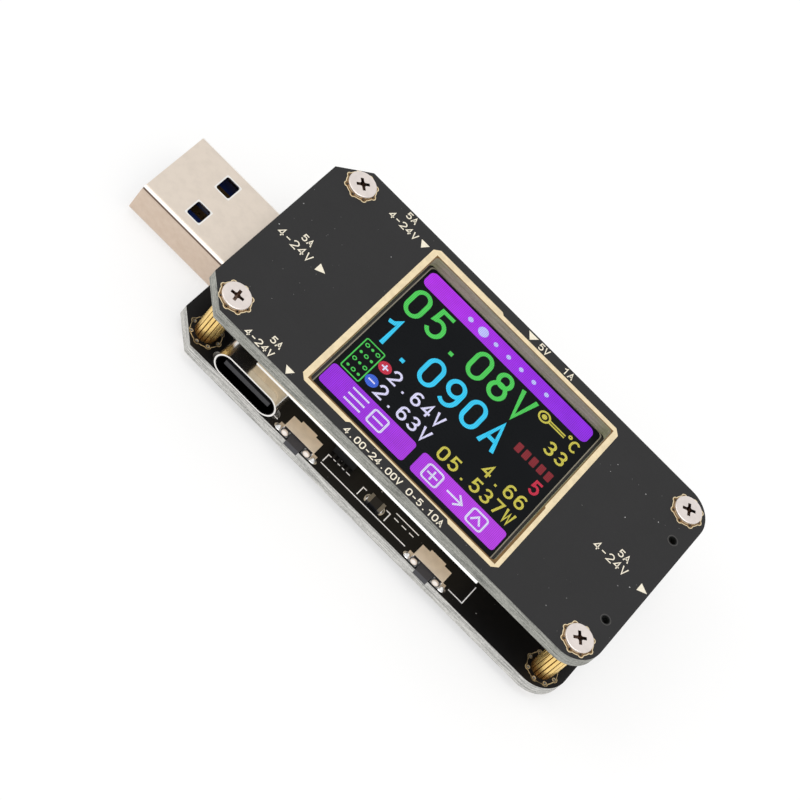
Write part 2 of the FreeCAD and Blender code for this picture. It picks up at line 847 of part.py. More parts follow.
def usb_socket():
    """The socket: shell with two legs, insulator with its tongue, four bent contacts."""
    mouth = RIGHT_END - D.socket_inset
    back = mouth - D.socket_length
    low = BOARD_TOP + D.socket_lift
    shell = tube("socket_sleeve", D.socket_width, D.socket_height, D.socket_radius, D.socket_wall,
                 D.socket_length)
    shell.Placement = Placement(Vector(0, 0, 0), Rotation(Vector(1, 1, 1), 120))
    place(shell, back, 0, low + D.socket_height / 2)
    legs = [slab(socket_leg_x(), side * socket_leg_y(), D.tail_end, D.socket_leg_length,
                 D.socket_wall, low + D.socket_radius + D.socket_leg_root - D.tail_end)
            for side in SIDES]
    publish(fuse(shell, *legs), "usb_a_socket_shell")

    inner_top = low + D.socket_height - D.socket_wall
    tongue_low = inner_top - D.socket_tongue_drop - D.socket_tongue_thick
    inner_width = D.socket_width - 2 * (D.socket_wall + D.socket_side_gap)
    start = back + D.socket_block_inset
    rear = block(start, -inner_width / 2, low + D.socket_wall + D.socket_block_gap,
                 D.socket_block_length, inner_width,
                 D.socket_height - 2 * (D.socket_wall + D.socket_block_gap))
    tongue = block(start, -D.plug_tongue_width / 2, tongue_low, D.socket_tongue_reach,
                   D.plug_tongue_width, D.socket_tongue_thick)
    contact_top = tongue_low - D.rest_gap
    slot_depth = D.socket_contact_thick + D.socket_slot_slack
    slots = [slab(start + D.socket_block_length / 2, y, contact_top - slot_depth,
                  D.socket_block_length, D.contact_width + 2 * D.fine_gap, slot_depth + D.rest_gap)
             for y in contact_rows()]
    publish(cut(fuse(rear, tongue), *slots), "usb_a_socket_insulator")

    tail_x = back - D.socket_tail_behind
    strip_start = tail_x - D.socket_contact_thick / 2
    strip_end = back + D.socket_tongue_reach - D.socket_contact_short
    contacts = []
    for y in contact_rows():
        strip = block(strip_start, y - D.contact_width / 2, contact_top - D.socket_contact_thick,
                      strip_end - strip_start, D.contact_width, D.socket_contact_thick)
        tail = slab(tail_x, y, D.tail_end, D.socket_contact_thick, D.socket_tail_width,
                    contact_top - D.tail_end)
        contacts.append(fuse(strip, tail))
    publish(group(contacts), "usb_a_socket_contacts")


# ------------------------------------------------------------- USB-C sockets

def typec_leg_spots():
    """The middles of the four shield legs of the socket on the far edge, from the middle line."""
    outer = D.typec_width / 2 - D.typec_wall / 2
    return [(D.typec_centre + side * outer, EDGE - back)
            for side in SIDES for back in (D.typec_leg_back, D.typec_leg_back + D.typec_leg_spread)]


def usb_c_sockets():
    """Two equal sockets, one on each long edge, opposite each other."""
    mouth = -EDGE - D.mouth_proud
    low = BOARD_TOP + D.typec_lift
    middle = low + D.typec_height / 2
    shell = tube("typec_sleeve", D.typec_width, D.typec_height, D.typec_radius, D.typec_wall,
                 D.typec_length)
    shell.Placement = Placement(Vector(0, 0, 0), Rotation(Vector(1, 0, 0), 90))
    place(shell, D.typec_centre, mouth + D.typec_length, middle)
    leg_low = BOARD_LOW - D.typec_leg_through
    legs = [slab(x, -y, leg_low, D.typec_wall, D.typec_leg_length, middle - leg_low)
            for x, y in typec_leg_spots()]
    shells = fuse(shell, *legs)

    rear_y = mouth + D.typec_length - D.typec_block_inset
    neck_y = rear_y - D.typec_block_length - D.typec_neck_length
    left = D.typec_centre - D.typec_tongue_width / 2
    inner = D.typec_height - 2 * (D.typec_wall + D.typec_block_slack)
    rear = block(left, rear_y - D.typec_block_length, middle - inner / 2, D.typec_tongue_width,
                 D.typec_block_length, inner)
    neck = block(left, neck_y, middle - D.typec_neck_thick / 2, D.typec_tongue_width,
                 D.typec_neck_length, D.typec_neck_thick)
    tongue_front = mouth + D.typec_tongue_recess
    tongue = block(left, tongue_front, middle - D.typec_tongue_thick / 2, D.typec_tongue_width,
                   rear_y - tongue_front, D.typec_tongue_thick)
    insert = fuse(rear, neck, tongue)

    strips = []
    strip_length = neck_y - tongue_front - D.typec_contact_short
    above = middle + D.typec_tongue_thick / 2
    below = middle - D.typec_tongue_thick / 2 - D.typec_contact_thick
    for number in range(TYPEC_CONTACTS):
        x = D.typec_centre + (number - (TYPEC_CONTACTS - 1) / 2) * D.typec_pitch
        for level in (above, below):
            strips.append(block(x - D.typec_contact_width / 2, tongue_front + D.typec_contact_start,
                                level, D.typec_contact_width, strip_length, D.typec_contact_thick))
        strips.append(slab(x, rear_y + D.typec_lead_along, BOARD_TOP, D.typec_contact_width,
                           D.lead_length, D.lead_thick))
    contacts = group(strips)

    for source, label in ((shells, "shell"), (insert, "insert"), (contacts, "contacts")):
        publish(source, "usb_c_out_" + label)
        publish(turned(source, D.typec_centre), "usb_c_in_" + label)


# -------------------------------------------------------------- micro socket

def micro_profile(inset):
    """The six-cornered section of the micro socket: wide above, drawn in below."""
    half_top = float(D.micro_width) / 2 - inset
    half_base = float(D.micro_base) / 2 - inset * MICRO_SLOPE
    tall = float(D.micro_height) / 2 - inset
    shoulder = -tall * MICRO_SHOULDER
    points = [Vector(-half_base, -tall), Vector(half_base, -tall), Vector(half_top, shoulder),
              Vector(half_top, tall), Vector(-half_top, tall), Vector(-half_top, shoulder)]
    return Part.Face(Part.makePolygon(points + points[:1]))


def micro_socket():
    """The micro socket in the middle of the far edge."""
    length = float(D.micro_length)
    wall = float(D.micro_wall)
    mouth = float(EDGE + D.mouth_proud)
    low = float(BOARD_TOP + D.micro_lift)
    level = low + float(D.micro_height) / 2
    ring = micro_profile(0).cut(micro_profile(wall))
    shell = doc.addObject("Part::Feature", "micro_sleeve")
    shell.Shape = ring.extrude(Vector(0, 0, length))
    shell.Placement = Placement(Vector(float(D.micro_centre), mouth, level),
                                Rotation(Vector(1, 0, 0), 90))
    publish(shell, "micro_socket_shell")

    inner_tall = D.micro_height - 2 * (D.micro_wall + D.fine_gap)
    rear_low = BOARD_TOP + D.micro_lift + D.micro_wall + D.fine_gap
    back = EDGE + D.mouth_proud - D.micro_length
    rear = slab(D.micro_centre, back + D.micro_block_back, rear_low,
                D.micro_base - D.micro_block_slack, D.micro_block_length, inner_tall)
    tongue_low = rear_low + inner_tall - D.micro_tongue_drop
    tongue = slab(D.micro_centre, back + D.micro_tongue_back, tongue_low, D.micro_tongue_width,
                  D.micro_tongue_length, D.micro_tongue_thick)
    publish(fuse(rear, tongue), "micro_socket_insert")

    strips = []
    for number in range(MICRO_CONTACTS):
        x = D.micro_centre + (number - (MICRO_CONTACTS - 1) / 2) * D.micro_pitch
        strips.append(slab(x, back + D.micro_contact_back, tongue_low - D.micro_contact_thick,
                           D.micro_contact_width, D.micro_contact_length, D.micro_contact_thick))
        strips.append(slab(x, back - D.micro_lead_back, BOARD_TOP, D.micro_contact_width,
                           D.lead_length, D.lead_thick))
    publish(group(strips), "micro_socket_contacts")


# ------------------------------------------------------------------- buttons

def boss(x, y, z, diameter, length):
    """A cylinder that lies along Y, from the middle of its near end."""
    item = rod(x, y, z, diameter, length)
    item.Placement = Placement(Vector(0, 0, 0), Rotation(Vector(1, 0, 0), -90))
    return place(item, x, y, z)


def switch_parts(x):
    """One side-push switch on the near edge: base, cover with its front flaps, and button."""
    face = -EDGE + D.switch_face
    back = face + D.switch_depth
    cover_low = BOARD_TOP + D.switch_height - D.cover_thick
    low = BOARD_TOP + D.button_low
    gap = D.fine_gap
    stem_room = slab(x, face + D.stem_room_along, low - gap, D.button_width + 2 * gap,
                     D.stem_room_length, cover_low - low + gap)
    flange_front = face + D.switch_wall
    room_depth = D.flange_thick + D.button_travel + 3 * gap
    flange_room = block(x - D.button_flange / 2 - gap, flange_front, low - gap,
                        D.button_flange + 2 * gap, room_depth, cover_low - low + gap)
    body = slab(x, face + D.switch_depth / 2, BOARD_TOP, D.switch_width - 2 * D.cover_thick,
                D.switch_depth, cover_low - BOARD_TOP)
    base = cut(body, stem_room, flange_room)

    lid = block(x - D.switch_width / 2, face + D.cover_inset, cover_low, D.switch_width,
                D.switch_depth - D.cover_inset, D.cover_thick)
    tab = block(x - D.switch_width / 4, back, cover_low, D.switch_width / 2, D.cover_tab,
                D.cover_thick)
    foot = BOARD_TOP + D.rest_gap
    front = face - D.cover_thick
    bends = []
    for side in SIDES:
        across = x + side * (D.switch_width - D.cover_thick) / 2
        bends.append(slab(across, front + D.cover_wall_length / 2, foot, D.cover_thick,
                          D.cover_wall_length, D.switch_height - D.rest_gap))
        bends.append(slab(x + side * (D.switch_width - D.cover_flap_width) / 2,
                          front + D.cover_thick / 2, foot, D.cover_flap_width, D.cover_thick,
                          D.cover_flap_height))
        bends.append(boss(x + side * D.cover_boss_along, front - D.cover_boss_proud,
                          BOARD_TOP + D.cover_boss_height, D.cover_boss_diameter,
                          D.cover_thick + D.cover_boss_proud))
        bends.append(slab(x + side * (D.switch_width / 2 + D.cover_foot_out),
                          face + D.cover_foot_along, foot, D.cover_foot_width,
                          D.cover_foot_length, D.cover_thick))
    cover = fuse(lid, tab, *bends)

    stem_start = -EDGE - D.button_proud
    stem = block(x - D.button_width / 2, stem_start, low, D.button_width,
                 flange_front + gap - stem_start + D.flange_thick, D.button_tall)
    flange = block(x - D.button_flange / 2, flange_front + gap, low, D.button_flange,
                   D.flange_thick, D.button_tall)
    return base, cover, fuse(stem, flange)


def buttons():
    """Four side-push switches, two on each long edge."""
    bases = []
    covers = []
    for x, hand in ((D.button_left, "left"), (D.button_right, "right")):
        base, cover, button = switch_parts(x)
        bases += [base, turned(base, x)]
        covers += [cover, turned(cover, x)]
        publish(button, f"button_near_{hand}")
        publish(turned(button, x), f"button_far_{hand}")
    publish(group(bases), "switch_bases")
    publish(group(covers), "switch_covers")


# ------------------------------------------------------------------- circuit

def leaded_chip(x, y, length, width, tall, pitch, rows):
    """A chip with flat leads along two of its sides, given rows along X or along Y."""
    body = slab(x, y, BOARD_TOP + D.chip_lift, length, width, tall)
    leads = []
    for along, count in rows:
        for number in range(count):
            step = (number - (count - 1) / 2) * pitch
            if along == "x":
                leads.append(slab(x + step, y, BOARD_TOP, LEAD_SHARE * pitch,
                                  width + D.chip_lead_reach, D.chip_lead_thick))
            else:
                leads.append(slab(x, y + step, BOARD_TOP, length + D.chip_lead_reach,
                                  LEAD_SHARE * pitch, D.chip_lead_thick))
    return fuse(body, *leads)


def circuit():
    """The chips that measure, compute and supply, and the small parts round them."""
    publish(leaded_chip(D.mcu_along, D.mcu_across, D.mcu_side, D.mcu_side, D.mcu_tall,
                        D.mcu_pitch, (("x", 12), ("y", 12))), "microcontroller")
    publish(leaded_chip(D.sense_along, D.sense_across, D.sense_side, D.sense_side, D.sense_tall,
                        D.chip_pitch, (("x", 4),)), "current_sense_chip")
    publish(leaded_chip(D.memory_along, D.memory_across, D.memory_length, D.memory_width,
                        D.memory_tall, D.chip_pitch, (("x", 4),)), "memory_chip")
    publish(leaded_chip(D.regulator_along, D.regulator_across, D.regulator_length,
                        D.regulator_width, D.regulator_tall, D.regulator_pitch, (("x", 3),)),
            "regulator")
    publish(slab(D.shunt_along, D.shunt_across, BOARD_TOP, D.shunt_length, D.shunt_width,
                 D.shunt_tall), "shunt_resistor")
    publish(slab(D.crystal_along, D.crystal_across, BOARD_TOP, D.crystal_length, D.crystal_width,
                 D.crystal_tall), "crystal")
    publish(slab(D.inductor_along, D.inductor_across, BOARD_TOP, D.inductor_side, D.inductor_side,
                 D.inductor_tall), "inductor")
    publish(group([slab(x, y, BOARD_TOP, D.capacitor_length, D.capacitor_width, D.capacitor_tall)
                   for x, y in CAPACITOR_SPOTS]), "capacitors")
    publish(group([slab(x, y, BOARD_TOP, D.resistor_length, D.resistor_width, D.resistor_tall)
                   for x, y in RESISTOR_SPOTS]), "resistors")


# ---------------------------------------------------------------------- write

def build():
    """Makes every sub-part."""
    front_panel()
    main_board()
    posts()
    screws()
    display()
    display_flex()
    usb_plug()
    usb_socket()
    usb_c_sockets()
    micro_socket()
    buttons()
    circuit()
    doc.recompute()


def check():
    """Stops if any object failed or any sub-part is empty or not valid."""
    for item in doc.Objects:
        if "Invalid" in item.State or "Error" in item.State:
            raise RuntimeError(f"{item.Name} ({item.Label}) failed: {item.State}")
    for item in SUBPARTS:
        if item.Shape.isNull() or not item.Shape.isValid() or not item.Shape.Solids:
            raise RuntimeError(f"{item.Label} has no valid solid")


def write():
    """Writes each sub-part to a file of its own."""
    os.makedirs("parts", exist_ok=True)
    for item in SUBPARTS:
        item.Shape.exportStep(f"parts/{item.Label}.step")
    print(len(SUBPARTS), "sub-parts written")


build()
check()
write()
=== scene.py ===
import math

import bmesh
import bpy
from mathutils import Matrix, Vector


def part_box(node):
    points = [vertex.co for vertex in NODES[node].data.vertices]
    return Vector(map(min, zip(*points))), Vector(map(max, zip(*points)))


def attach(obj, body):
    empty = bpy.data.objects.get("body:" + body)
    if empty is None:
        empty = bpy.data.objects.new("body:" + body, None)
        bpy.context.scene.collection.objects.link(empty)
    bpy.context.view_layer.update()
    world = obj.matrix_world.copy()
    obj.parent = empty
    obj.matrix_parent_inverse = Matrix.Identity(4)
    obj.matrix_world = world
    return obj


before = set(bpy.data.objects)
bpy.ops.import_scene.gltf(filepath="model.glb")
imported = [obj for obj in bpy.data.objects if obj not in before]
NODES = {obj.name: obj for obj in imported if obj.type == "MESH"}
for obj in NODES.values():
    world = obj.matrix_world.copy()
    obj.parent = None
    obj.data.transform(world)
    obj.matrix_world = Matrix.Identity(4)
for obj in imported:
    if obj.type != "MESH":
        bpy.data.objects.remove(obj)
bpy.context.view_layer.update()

MM = 0.001
ROOT = "meter"

# Corners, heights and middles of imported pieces, in metres.
PANEL_LOW, PANEL_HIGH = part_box("front_panel")
BOARD_LOW, BOARD_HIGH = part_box("main_board")
GLASS_LOW, GLASS_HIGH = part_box("display_glass")
SCREWS_LOW, SCREWS_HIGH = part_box("front_screws")
TYPEC_LOW, TYPEC_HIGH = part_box("usb_c_out_shell")
PLUG_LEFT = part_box("usb_a_plug_shell")[0].x
PANEL_TOP = PANEL_HIGH.z
BOARD_TOP = BOARD_HIGH.z
GLASS_TOP = GLASS_HIGH.z
PANEL_X = (PANEL_LOW.x + PANEL_HIGH.x) / 2
GLASS_X = (GLASS_LOW.x + GLASS_HIGH.x) / 2

# Posts, USB-C shells, switches and the plug's windows, in millimetres.
POST_Y = 12.4
HEAD_RADIUS = SCREWS_HIGH.y / MM - POST_Y
POST_XS = (SCREWS_LOW.x / MM + HEAD_RADIUS, SCREWS_HIGH.x / MM - HEAD_RADIUS)
POSTS = [(x, side * POST_Y) for x in POST_XS for side in (-1, 1)]
TYPEC_HALF = 1.63
TYPEC_X = (TYPEC_LOW.x + TYPEC_HIGH.x) / 2 / MM
TYPEC_LEVEL = TYPEC_HIGH.z / MM - TYPEC_HALF
TYPEC_STRAIGHT = (TYPEC_HIGH.x - TYPEC_LOW.x) / 2 / MM - TYPEC_HALF
SWITCH_XS = [sum(corner.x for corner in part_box(node)) / 2 / MM
             for node in ("button_near_left", "button_near_right")]
PLUG_WINDOW_SPOT = (PLUG_LEFT / MM + 6.125, 2.82)
PLUG_WINDOW_HALF = (0.975, 1.225)

# On the boards, in millimetres: places are from the panel's middle.
WINDOW = {"x": 0.1, "length": 27.9, "width": 26.05, "radius": 0.5}
MARKER_X, MARKER_Y = 27.3, 7.65
CHAMFER = 3.5
VIA_COUNT = 8
VIA_RING = 1.8
VIA_HOLE = 0.15
VIA_COPPER = 0.25
VIA_LOBE = 0.41
PAD_RADIUS = 1.97
SCREW_HOLE = 1.16
PLATING = 0.02
INK = 0.012
LIT = 0.01
PANEL_ORIGIN = (PANEL_X, 0, PANEL_TOP)
BOARD_ORIGIN = (PANEL_X, 0, BOARD_TOP)
GLASS_ORIGIN = (GLASS_X, (GLASS_LOW.y + GLASS_HIGH.y) / 2, GLASS_TOP)


# ---- node graphs

class Shader:
    """A material's node graph, built around one Principled surface."""

    def __init__(self, name):
        self.material = bpy.data.materials.new(name)
        self.material.use_nodes = True
        self.tree = self.material.node_tree
        self.surface = self.tree.nodes["Principled BSDF"]

    def feed(self, node, socket, value):
        """Links an output to a socket, or sets the socket's value."""
        target = node.inputs[socket]
        if isinstance(value, bpy.types.NodeSocket):
            self.tree.links.new(value, target)
        elif target.type == "RGBA" and len(value) == 3:
            target.default_value = (*value, 1.0)
        else:
            target.default_value = value

    def add(self, kind, inputs=None, **settings):
        """Adds a node of one kind, with its settings and its inputs."""
        node = self.tree.nodes.new("ShaderNode" + kind)
        for key, value in settings.items():
            setattr(node, key, value)
        for socket, value in (inputs or {}).items():
            self.feed(node, socket, value)
        return node

    def finish(self, **inputs):
        """Sets the surface's inputs, named with underscores for spaces."""
        for socket, value in inputs.items():
            self.feed(self.surface, socket.replace("_", " "), value)
        return self.material

    def math(self, operation, first, second=0.0):
        return self.add("Math", {0: first, 1: second}, operation=operation).outputs[0]

    def minus(self, first, second):
        return self.math("SUBTRACT", first, second)

    def times(self, first, second):
        """A product, which for two masks is 1 where both are 1."""
        return self.math("MULTIPLY", first, second)

    def less(self, first, second):
        """1 where the first is the smaller."""
        return self.math("LESS_THAN", first, second)

    def position(self, stretch=(1, 1, 1)):
        """The place on the object in millimetres, stretched along its axes."""
        place = self.add("TexCoord").outputs["Object"]
        scale = [factor / MM for factor in stretch]
        return self.add("Mapping", {"Vector": place, "Scale": scale}).outputs[0]

    def parts(self, vector):
        return self.add("SeparateXYZ", {0: vector}).outputs

    def place(self):
        """The three parts of the position."""
        return self.parts(self.position())

    def apart(self, first, second):
        """How far apart two numbers are."""
        return self.math("ABSOLUTE", self.minus(first, second))

    def reach(self, first, second):
        """The length of a flat vector from its two parts."""
        squares = [self.times(part, part) for part in (first, second)]
        return self.math("SQRT", self.math("ADD", *squares))

    def normal(self):
        """The parts of the flat face normal."""
        return self.parts(self.add("NewGeometry").outputs["True Normal"])

    def noise(self, scale, detail, rough=0.55, stretch=(1, 1, 1)):
        """Noise with so many features a millimetre."""
        inputs = {"Vector": self.position(stretch), "Scale": scale, "Detail": detail, "Roughness": rough}
        return self.add("TexNoise", inputs).outputs[0]

    def ramp(self, factor, *stops):
        """Colours along a factor, between two stops (place, colour)."""
        node = self.add("ValToRGB", {0: factor})
        for element, (place, colour) in zip(node.color_ramp.elements, stops):
            element.position = place
            element.color = (*colour, 1.0)
        return node.outputs[0]

    def spread(self, factor, low, high):
        """A factor from 0 to 1 spread over a range."""
        return self.add("MapRange", {0: factor, 3: low, 4: high}).outputs[0]

    def step(self, factor, low, high):
        """0 below low, 1 above high, and smooth between them."""
        node = self.add("MapRange", {0: factor, 1: low, 2: high}, interpolation_type="SMOOTHSTEP")
        return node.outputs[0]

    def mix(self, factor, first, second):
        node = self.add("Mix", data_type="RGBA")
        self.feed(node, "Factor", factor)
        self.feed(node, 6, first)
        self.feed(node, 7, second)
        return node.outputs[2]

    def bump(self, height, depth, strength=1.0):
        """A bump from a height between 0 and 1, its depth in millimetres."""
        inputs = {"Height": height, "Distance": depth * MM, "Strength": strength}
        return self.add("Bump", inputs).outputs[0]

    def specks(self, scale, size, share):
        """1 on sparse small specks: a share of the cells of a grid holds one."""
        cells = self.add("TexVoronoi", {"Vector": self.position(), "Scale": scale})
        near = self.less(cells.outputs["Distance"], size)
        pick = self.parts(cells.outputs["Color"])[0]
        return self.times(near, self.less(pick, share))


def grey(level):
    return (level, level, level)


# ---- materials

def hole_walls(shader, edge, inner):
    """The panel's edge colour, but its own in the window, and near black in the marker holes as painted
    shade.
    """
    half_length, half_width = 14.2, 13.3
    place = shader.place()
    across = shader.math("ABSOLUTE", place[1])
    inside = shader.times(shader.less(shader.apart(place[0], GLASS_X / MM), half_length),
                          shader.less(across, half_width))
    marker = shader.reach(shader.minus(place[0], PANEL_X / MM + MARKER_X), shader.minus(across, MARKER_Y))
    edge = shader.mix(inside, edge, inner)
    return shader.mix(shader.less(marker, 0.8), edge, (0.006, 0.007, 0.006))


def board_material(name, face, edge_dark, edge_light, shine, inner=None):
    """Solder mask on the flat faces and bare layered glass fibre on the edges."""
    shader = Shader(name)
    upright = shader.math("ABSOLUTE", shader.normal()[2])
    flat = shader.math("GREATER_THAN", upright, 0.5)

    cloud = shader.noise(0.25, 2)
    grain = shader.noise(9, 2)
    light = [level * 1.18 for level in face]
    dark = [level * 0.86 for level in face]
    mask = shader.mix(cloud, dark, light)
    mask = shader.mix(shader.times(grain, 0.06), mask, grey(0.10))
    dust = shader.times(shader.specks(0.9, 0.075, 0.26), 0.8)
    lint = shader.times(shader.specks(2.1, 0.09, 0.10), 0.30)
    drift = shader.step(shader.noise(0.11, 2), 0.36, 0.56)
    mask = shader.mix(shader.times(shader.math("MAXIMUM", dust, lint), drift), mask, grey(0.55))

    layers = shader.noise(1.0, 3, 0.6, (0.35, 0.35, 6.5))
    weave = shader.noise(3.6, 4, 0.8, (1.0, 1.0, 1.6))
    fibre = shader.math("ADD", shader.times(layers, 0.55), shader.times(weave, 0.45))
    edge = shader.ramp(fibre, (0.37, edge_dark), (0.60, edge_light))
    if inner:
        edge = hole_walls(shader, edge, shader.ramp(fibre, (0.3, inner[0]), (0.65, inner[1])))

    colour = shader.mix(flat, edge, mask)
    rough_face = shader.spread(shader.noise(1.4, 3), 0.40, 0.56)
    rough = shader.add("Mix", {0: flat, 2: 0.72, 3: rough_face}).outputs[0]
    skin = shader.times(shader.noise(14, 2), shader.spread(flat, 1.0, 0.25))
    return shader.finish(
        Base_Color=colour, Roughness=rough, Normal=shader.bump(skin, 0.02, 0.5), Specular_IOR_Level=shine)


def nearest(shader, along, spots):
    """How far a place along the meter lies from the nearer of two spots."""
    middle = sum(spots) / 2
    return shader.apart(shader.apart(along, middle), spots[1] - middle)


def post_reach(shader):
    """How far a place lies from the middle line of the nearest post, in millimetres."""
    place = shader.place()
    along = nearest(shader, place[0], POST_XS)
    across = shader.apart(shader.math("ABSOLUTE", place[1]), POST_Y)
    return shader.reach(along, across)


def painted_recess_shade(shader, base):
    """Paints shade into a screw's driver recess and the shank behind it."""
    depth, radius = 0.035, 0.98
    level = shader.place()[2]
    middle = SCREWS_HIGH.z / MM / 2
    sunk = shader.less(shader.apart(level, middle), middle - depth)
    inside = shader.times(sunk, shader.less(post_reach(shader), radius))
    mottle = shader.step(shader.noise(3.2, 3), 0.38, 0.62)
    floor = shader.mix(mottle, (0.09, 0.055, 0.04), (0.36, 0.27, 0.22))
    return shader.mix(inside, base, floor)


def painted_post_shade(shader, base):
    """Paints shade into the roots of a post's knurl, and darker towards its foot as painted shade."""
    root, crest = 1.33, 1.39
    level = shader.place()[2]
    foot = shader.math("ADD", level, shader.times(shader.noise(1.1, 4), 1.6))
    base = shader.mix(shader.step(foot, 4.1, 5.6), (0.34, 0.17, 0.045), base)
    return shader.mix(shader.step(post_reach(shader), root, crest), (0.13, 0.055, 0.012), base)


def painted_mouth_shade(shader, base):
    """Paints shade inside the USB-C shells, within the bright lip."""
    lip = 0.2
    place = shader.place()
    along = shader.math("MAXIMUM", shader.minus(shader.apart(place[0], TYPEC_X), TYPEC_STRAIGHT))
    reach = shader.reach(along, shader.minus(place[2], TYPEC_LEVEL))
    return shader.mix(shader.less(reach, TYPEC_HALF - lip), base, grey(0.014))


def painted_window_highlights(shader, base):
    """A painted highlight round each window of the plug's shell."""
    place = shader.place()
    spot = (place[0], shader.math("ABSOLUTE", place[1]))
    out = [shader.math("MAXIMUM", shader.minus(shader.apart(part, middle), half))
           for part, middle, half in zip(spot, PLUG_WINDOW_SPOT, PLUG_WINDOW_HALF)]
    return shader.mix(shader.step(shader.reach(*out), 0.13, 0.20), (1.0, 0.99, 0.96), base)


def painted_edge_light(node, radius, window_highlights=None):
    """Painted light up each rolled edge of a shell: sides painted darker and warm as shade, then a thin
    dark line of painted reflection, then a bright painted highlight.

    The steps are shares of the roll: 0 where the side ends and 1 where the flat top starts.
    """
    low, high = (corner.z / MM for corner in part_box(node))

    def shade(shader, base):
        level = shader.apart(shader.place()[2], (low + high) / 2)
        bend = (high - low) / 2 - radius
        tilt = shader.math("DIVIDE", shader.minus(level, bend), radius)
        mottle = shader.noise(1.6, 4)
        side = shader.mix(mottle, (0.60, 0.47, 0.37), (0.72, 0.60, 0.50))
        rim = shader.mix(shader.step(tilt, 0.57, 0.63), side, (0.16, 0.10, 0.075))
        rim = shader.mix(shader.step(tilt, 0.74, 0.79), rim, (1.0, 0.97, 0.93))
        top = window_highlights(shader, base) if window_highlights else base
        return shader.mix(shader.step(tilt, 0.89, 0.93), rim, top)

    return shade


def painted_cover_light(shader, base):
    """A switch cover with painted light: flaps in front painted darker grey as shade, bosses with a
    painted highlight in the middle, and dark rings of painted shade round them.
    """
    boss_x, boss_level = 1.64, 3.58
    boss_radius, ring_radius = 0.43, 0.56
    flap_front, flap_top = 14.9, 4.12
    place = shader.place()
    along = shader.apart(nearest(shader, place[0], SWITCH_XS), boss_x)
    reach = shader.reach(along, shader.minus(place[2], boss_level))
    front = shader.math("GREATER_THAN", shader.math("ABSOLUTE", place[1]), flap_front)
    flap = shader.mix(shader.noise(2.5, 3), grey(0.16), grey(0.42))
    boss = shader.mix(shader.step(reach, 0.15, boss_radius), (1.0, 0.93, 0.88), (0.78, 0.66, 0.56))
    base = shader.mix(shader.times(front, shader.less(place[2], flap_top)), base, flap)
    base = shader.mix(shader.times(front, shader.less(reach, ring_radius)), base, grey(0.03))
    return shader.mix(shader.less(reach, boss_radius), base, boss)


def metal_material(name, colour, rough, wear=0.06, grain=(1, 1, 1), depth=0.004, dull=0.9,
                   shade=None, metal=1.0):
    """Plated or machined metal with a fine grain, soft stains and small scratches."""
    shader = Shader(name)
    stain = shader.noise(0.9, 4)
    fine = shader.noise(10, 3, 0.6, grain)
    base = shader.mix(shader.step(stain, 0.35, 0.75), colour, [level * dull for level in colour])
    base = shader.mix(shader.times(shader.specks(2.3, 0.05, 0.12), 0.35), base, grey(0.2))
    if shade:
        base = shade(shader, base)
    both = shader.math("ADD", shader.times(fine, 0.5), shader.times(stain, 0.5))
    return shader.finish(
        Base_Color=base, Metallic=metal, Roughness=shader.spread(both, rough - wear, rough + wear),
        Normal=shader.bump(fine, depth, 0.6))


def plastic_material(name, colour, rough, depth=0.01, lit=None):
    """Moulded plastic with a fine skin and slight unevenness."""
    shader = Shader(name)
    cloud = shader.noise(0.8, 3)
    skin = shader.noise(16, 2)
    low = [level * 0.82 for level in colour]
    high = [min(1.0, level * 1.15) for level in colour]
    base = shader.mix(cloud, low, high)
    surface = {}
    # A lit colour makes the plastic glow: painted light.
    if lit:
        dim = [level * 0.88 for level in lit]
        surface = {"Emission_Color": shader.mix(cloud, dim, lit), "Emission_Strength": 1.0}
    return shader.finish(
        Base_Color=base, Roughness=shader.spread(cloud, rough - 0.06, rough + 0.06),
        Normal=shader.bump(skin, depth, 0.4), **surface)


def frame_material():
    """The white tray of the display: tan above a level on its sides, and white below it with a painted
    glow.

    The level slopes a little along the tray, and mirrors show the tan only, as painted reflection.
    """
    tan_level, slope = 7.31, 0.0145
    shader = Shader("frame_white")
    cloud = shader.noise(0.8, 3)
    place = shader.place()
    level = shader.minus(place[2], shader.times(place[0], slope))
    mirrored = shader.add("LightPath").outputs["Is Glossy Ray"]
    tan_mask = shader.math("MAXIMUM", shader.step(level, tan_level, tan_level + 0.06), mirrored)
    white = shader.mix(cloud, grey(0.93), (0.99, 0.99, 0.97))
    tan = shader.mix(cloud, (0.66, 0.56, 0.40), (0.80, 0.69, 0.52))
    return shader.finish(
        Base_Color=shader.mix(tan_mask, white, tan), Roughness=shader.spread(cloud, 0.30, 0.42),
        Emission_Color=(1.0, 0.98, 0.94), Emission_Strength=shader.spread(tan_mask, 0.26, 0.0),
        Normal=shader.bump(shader.noise(16, 2), 0.006, 0.4))


def screen_material():
    """The dark glass of the display, with a faint haze and a low glow."""
    shader = Shader("display_dark")
    haze = shader.noise(0.12, 3)
    base = shader.mix(haze, (0.002, 0.0025, 0.0028), (0.005, 0.0055, 0.006))
    glow = shader.mix(haze, (0.001, 0.0014, 0.0022), (0.003, 0.0035, 0.0045))
    return shader.finish(
        Base_Color=base, Roughness=shader.spread(shader.noise(2.0, 3), 0.22, 0.34), Emission_Color=glow,
        Emission_Strength=1.0, Specular_IOR_Level=0.06, Normal=shader.bump(shader.noise(7, 2), 0.002, 0.4))


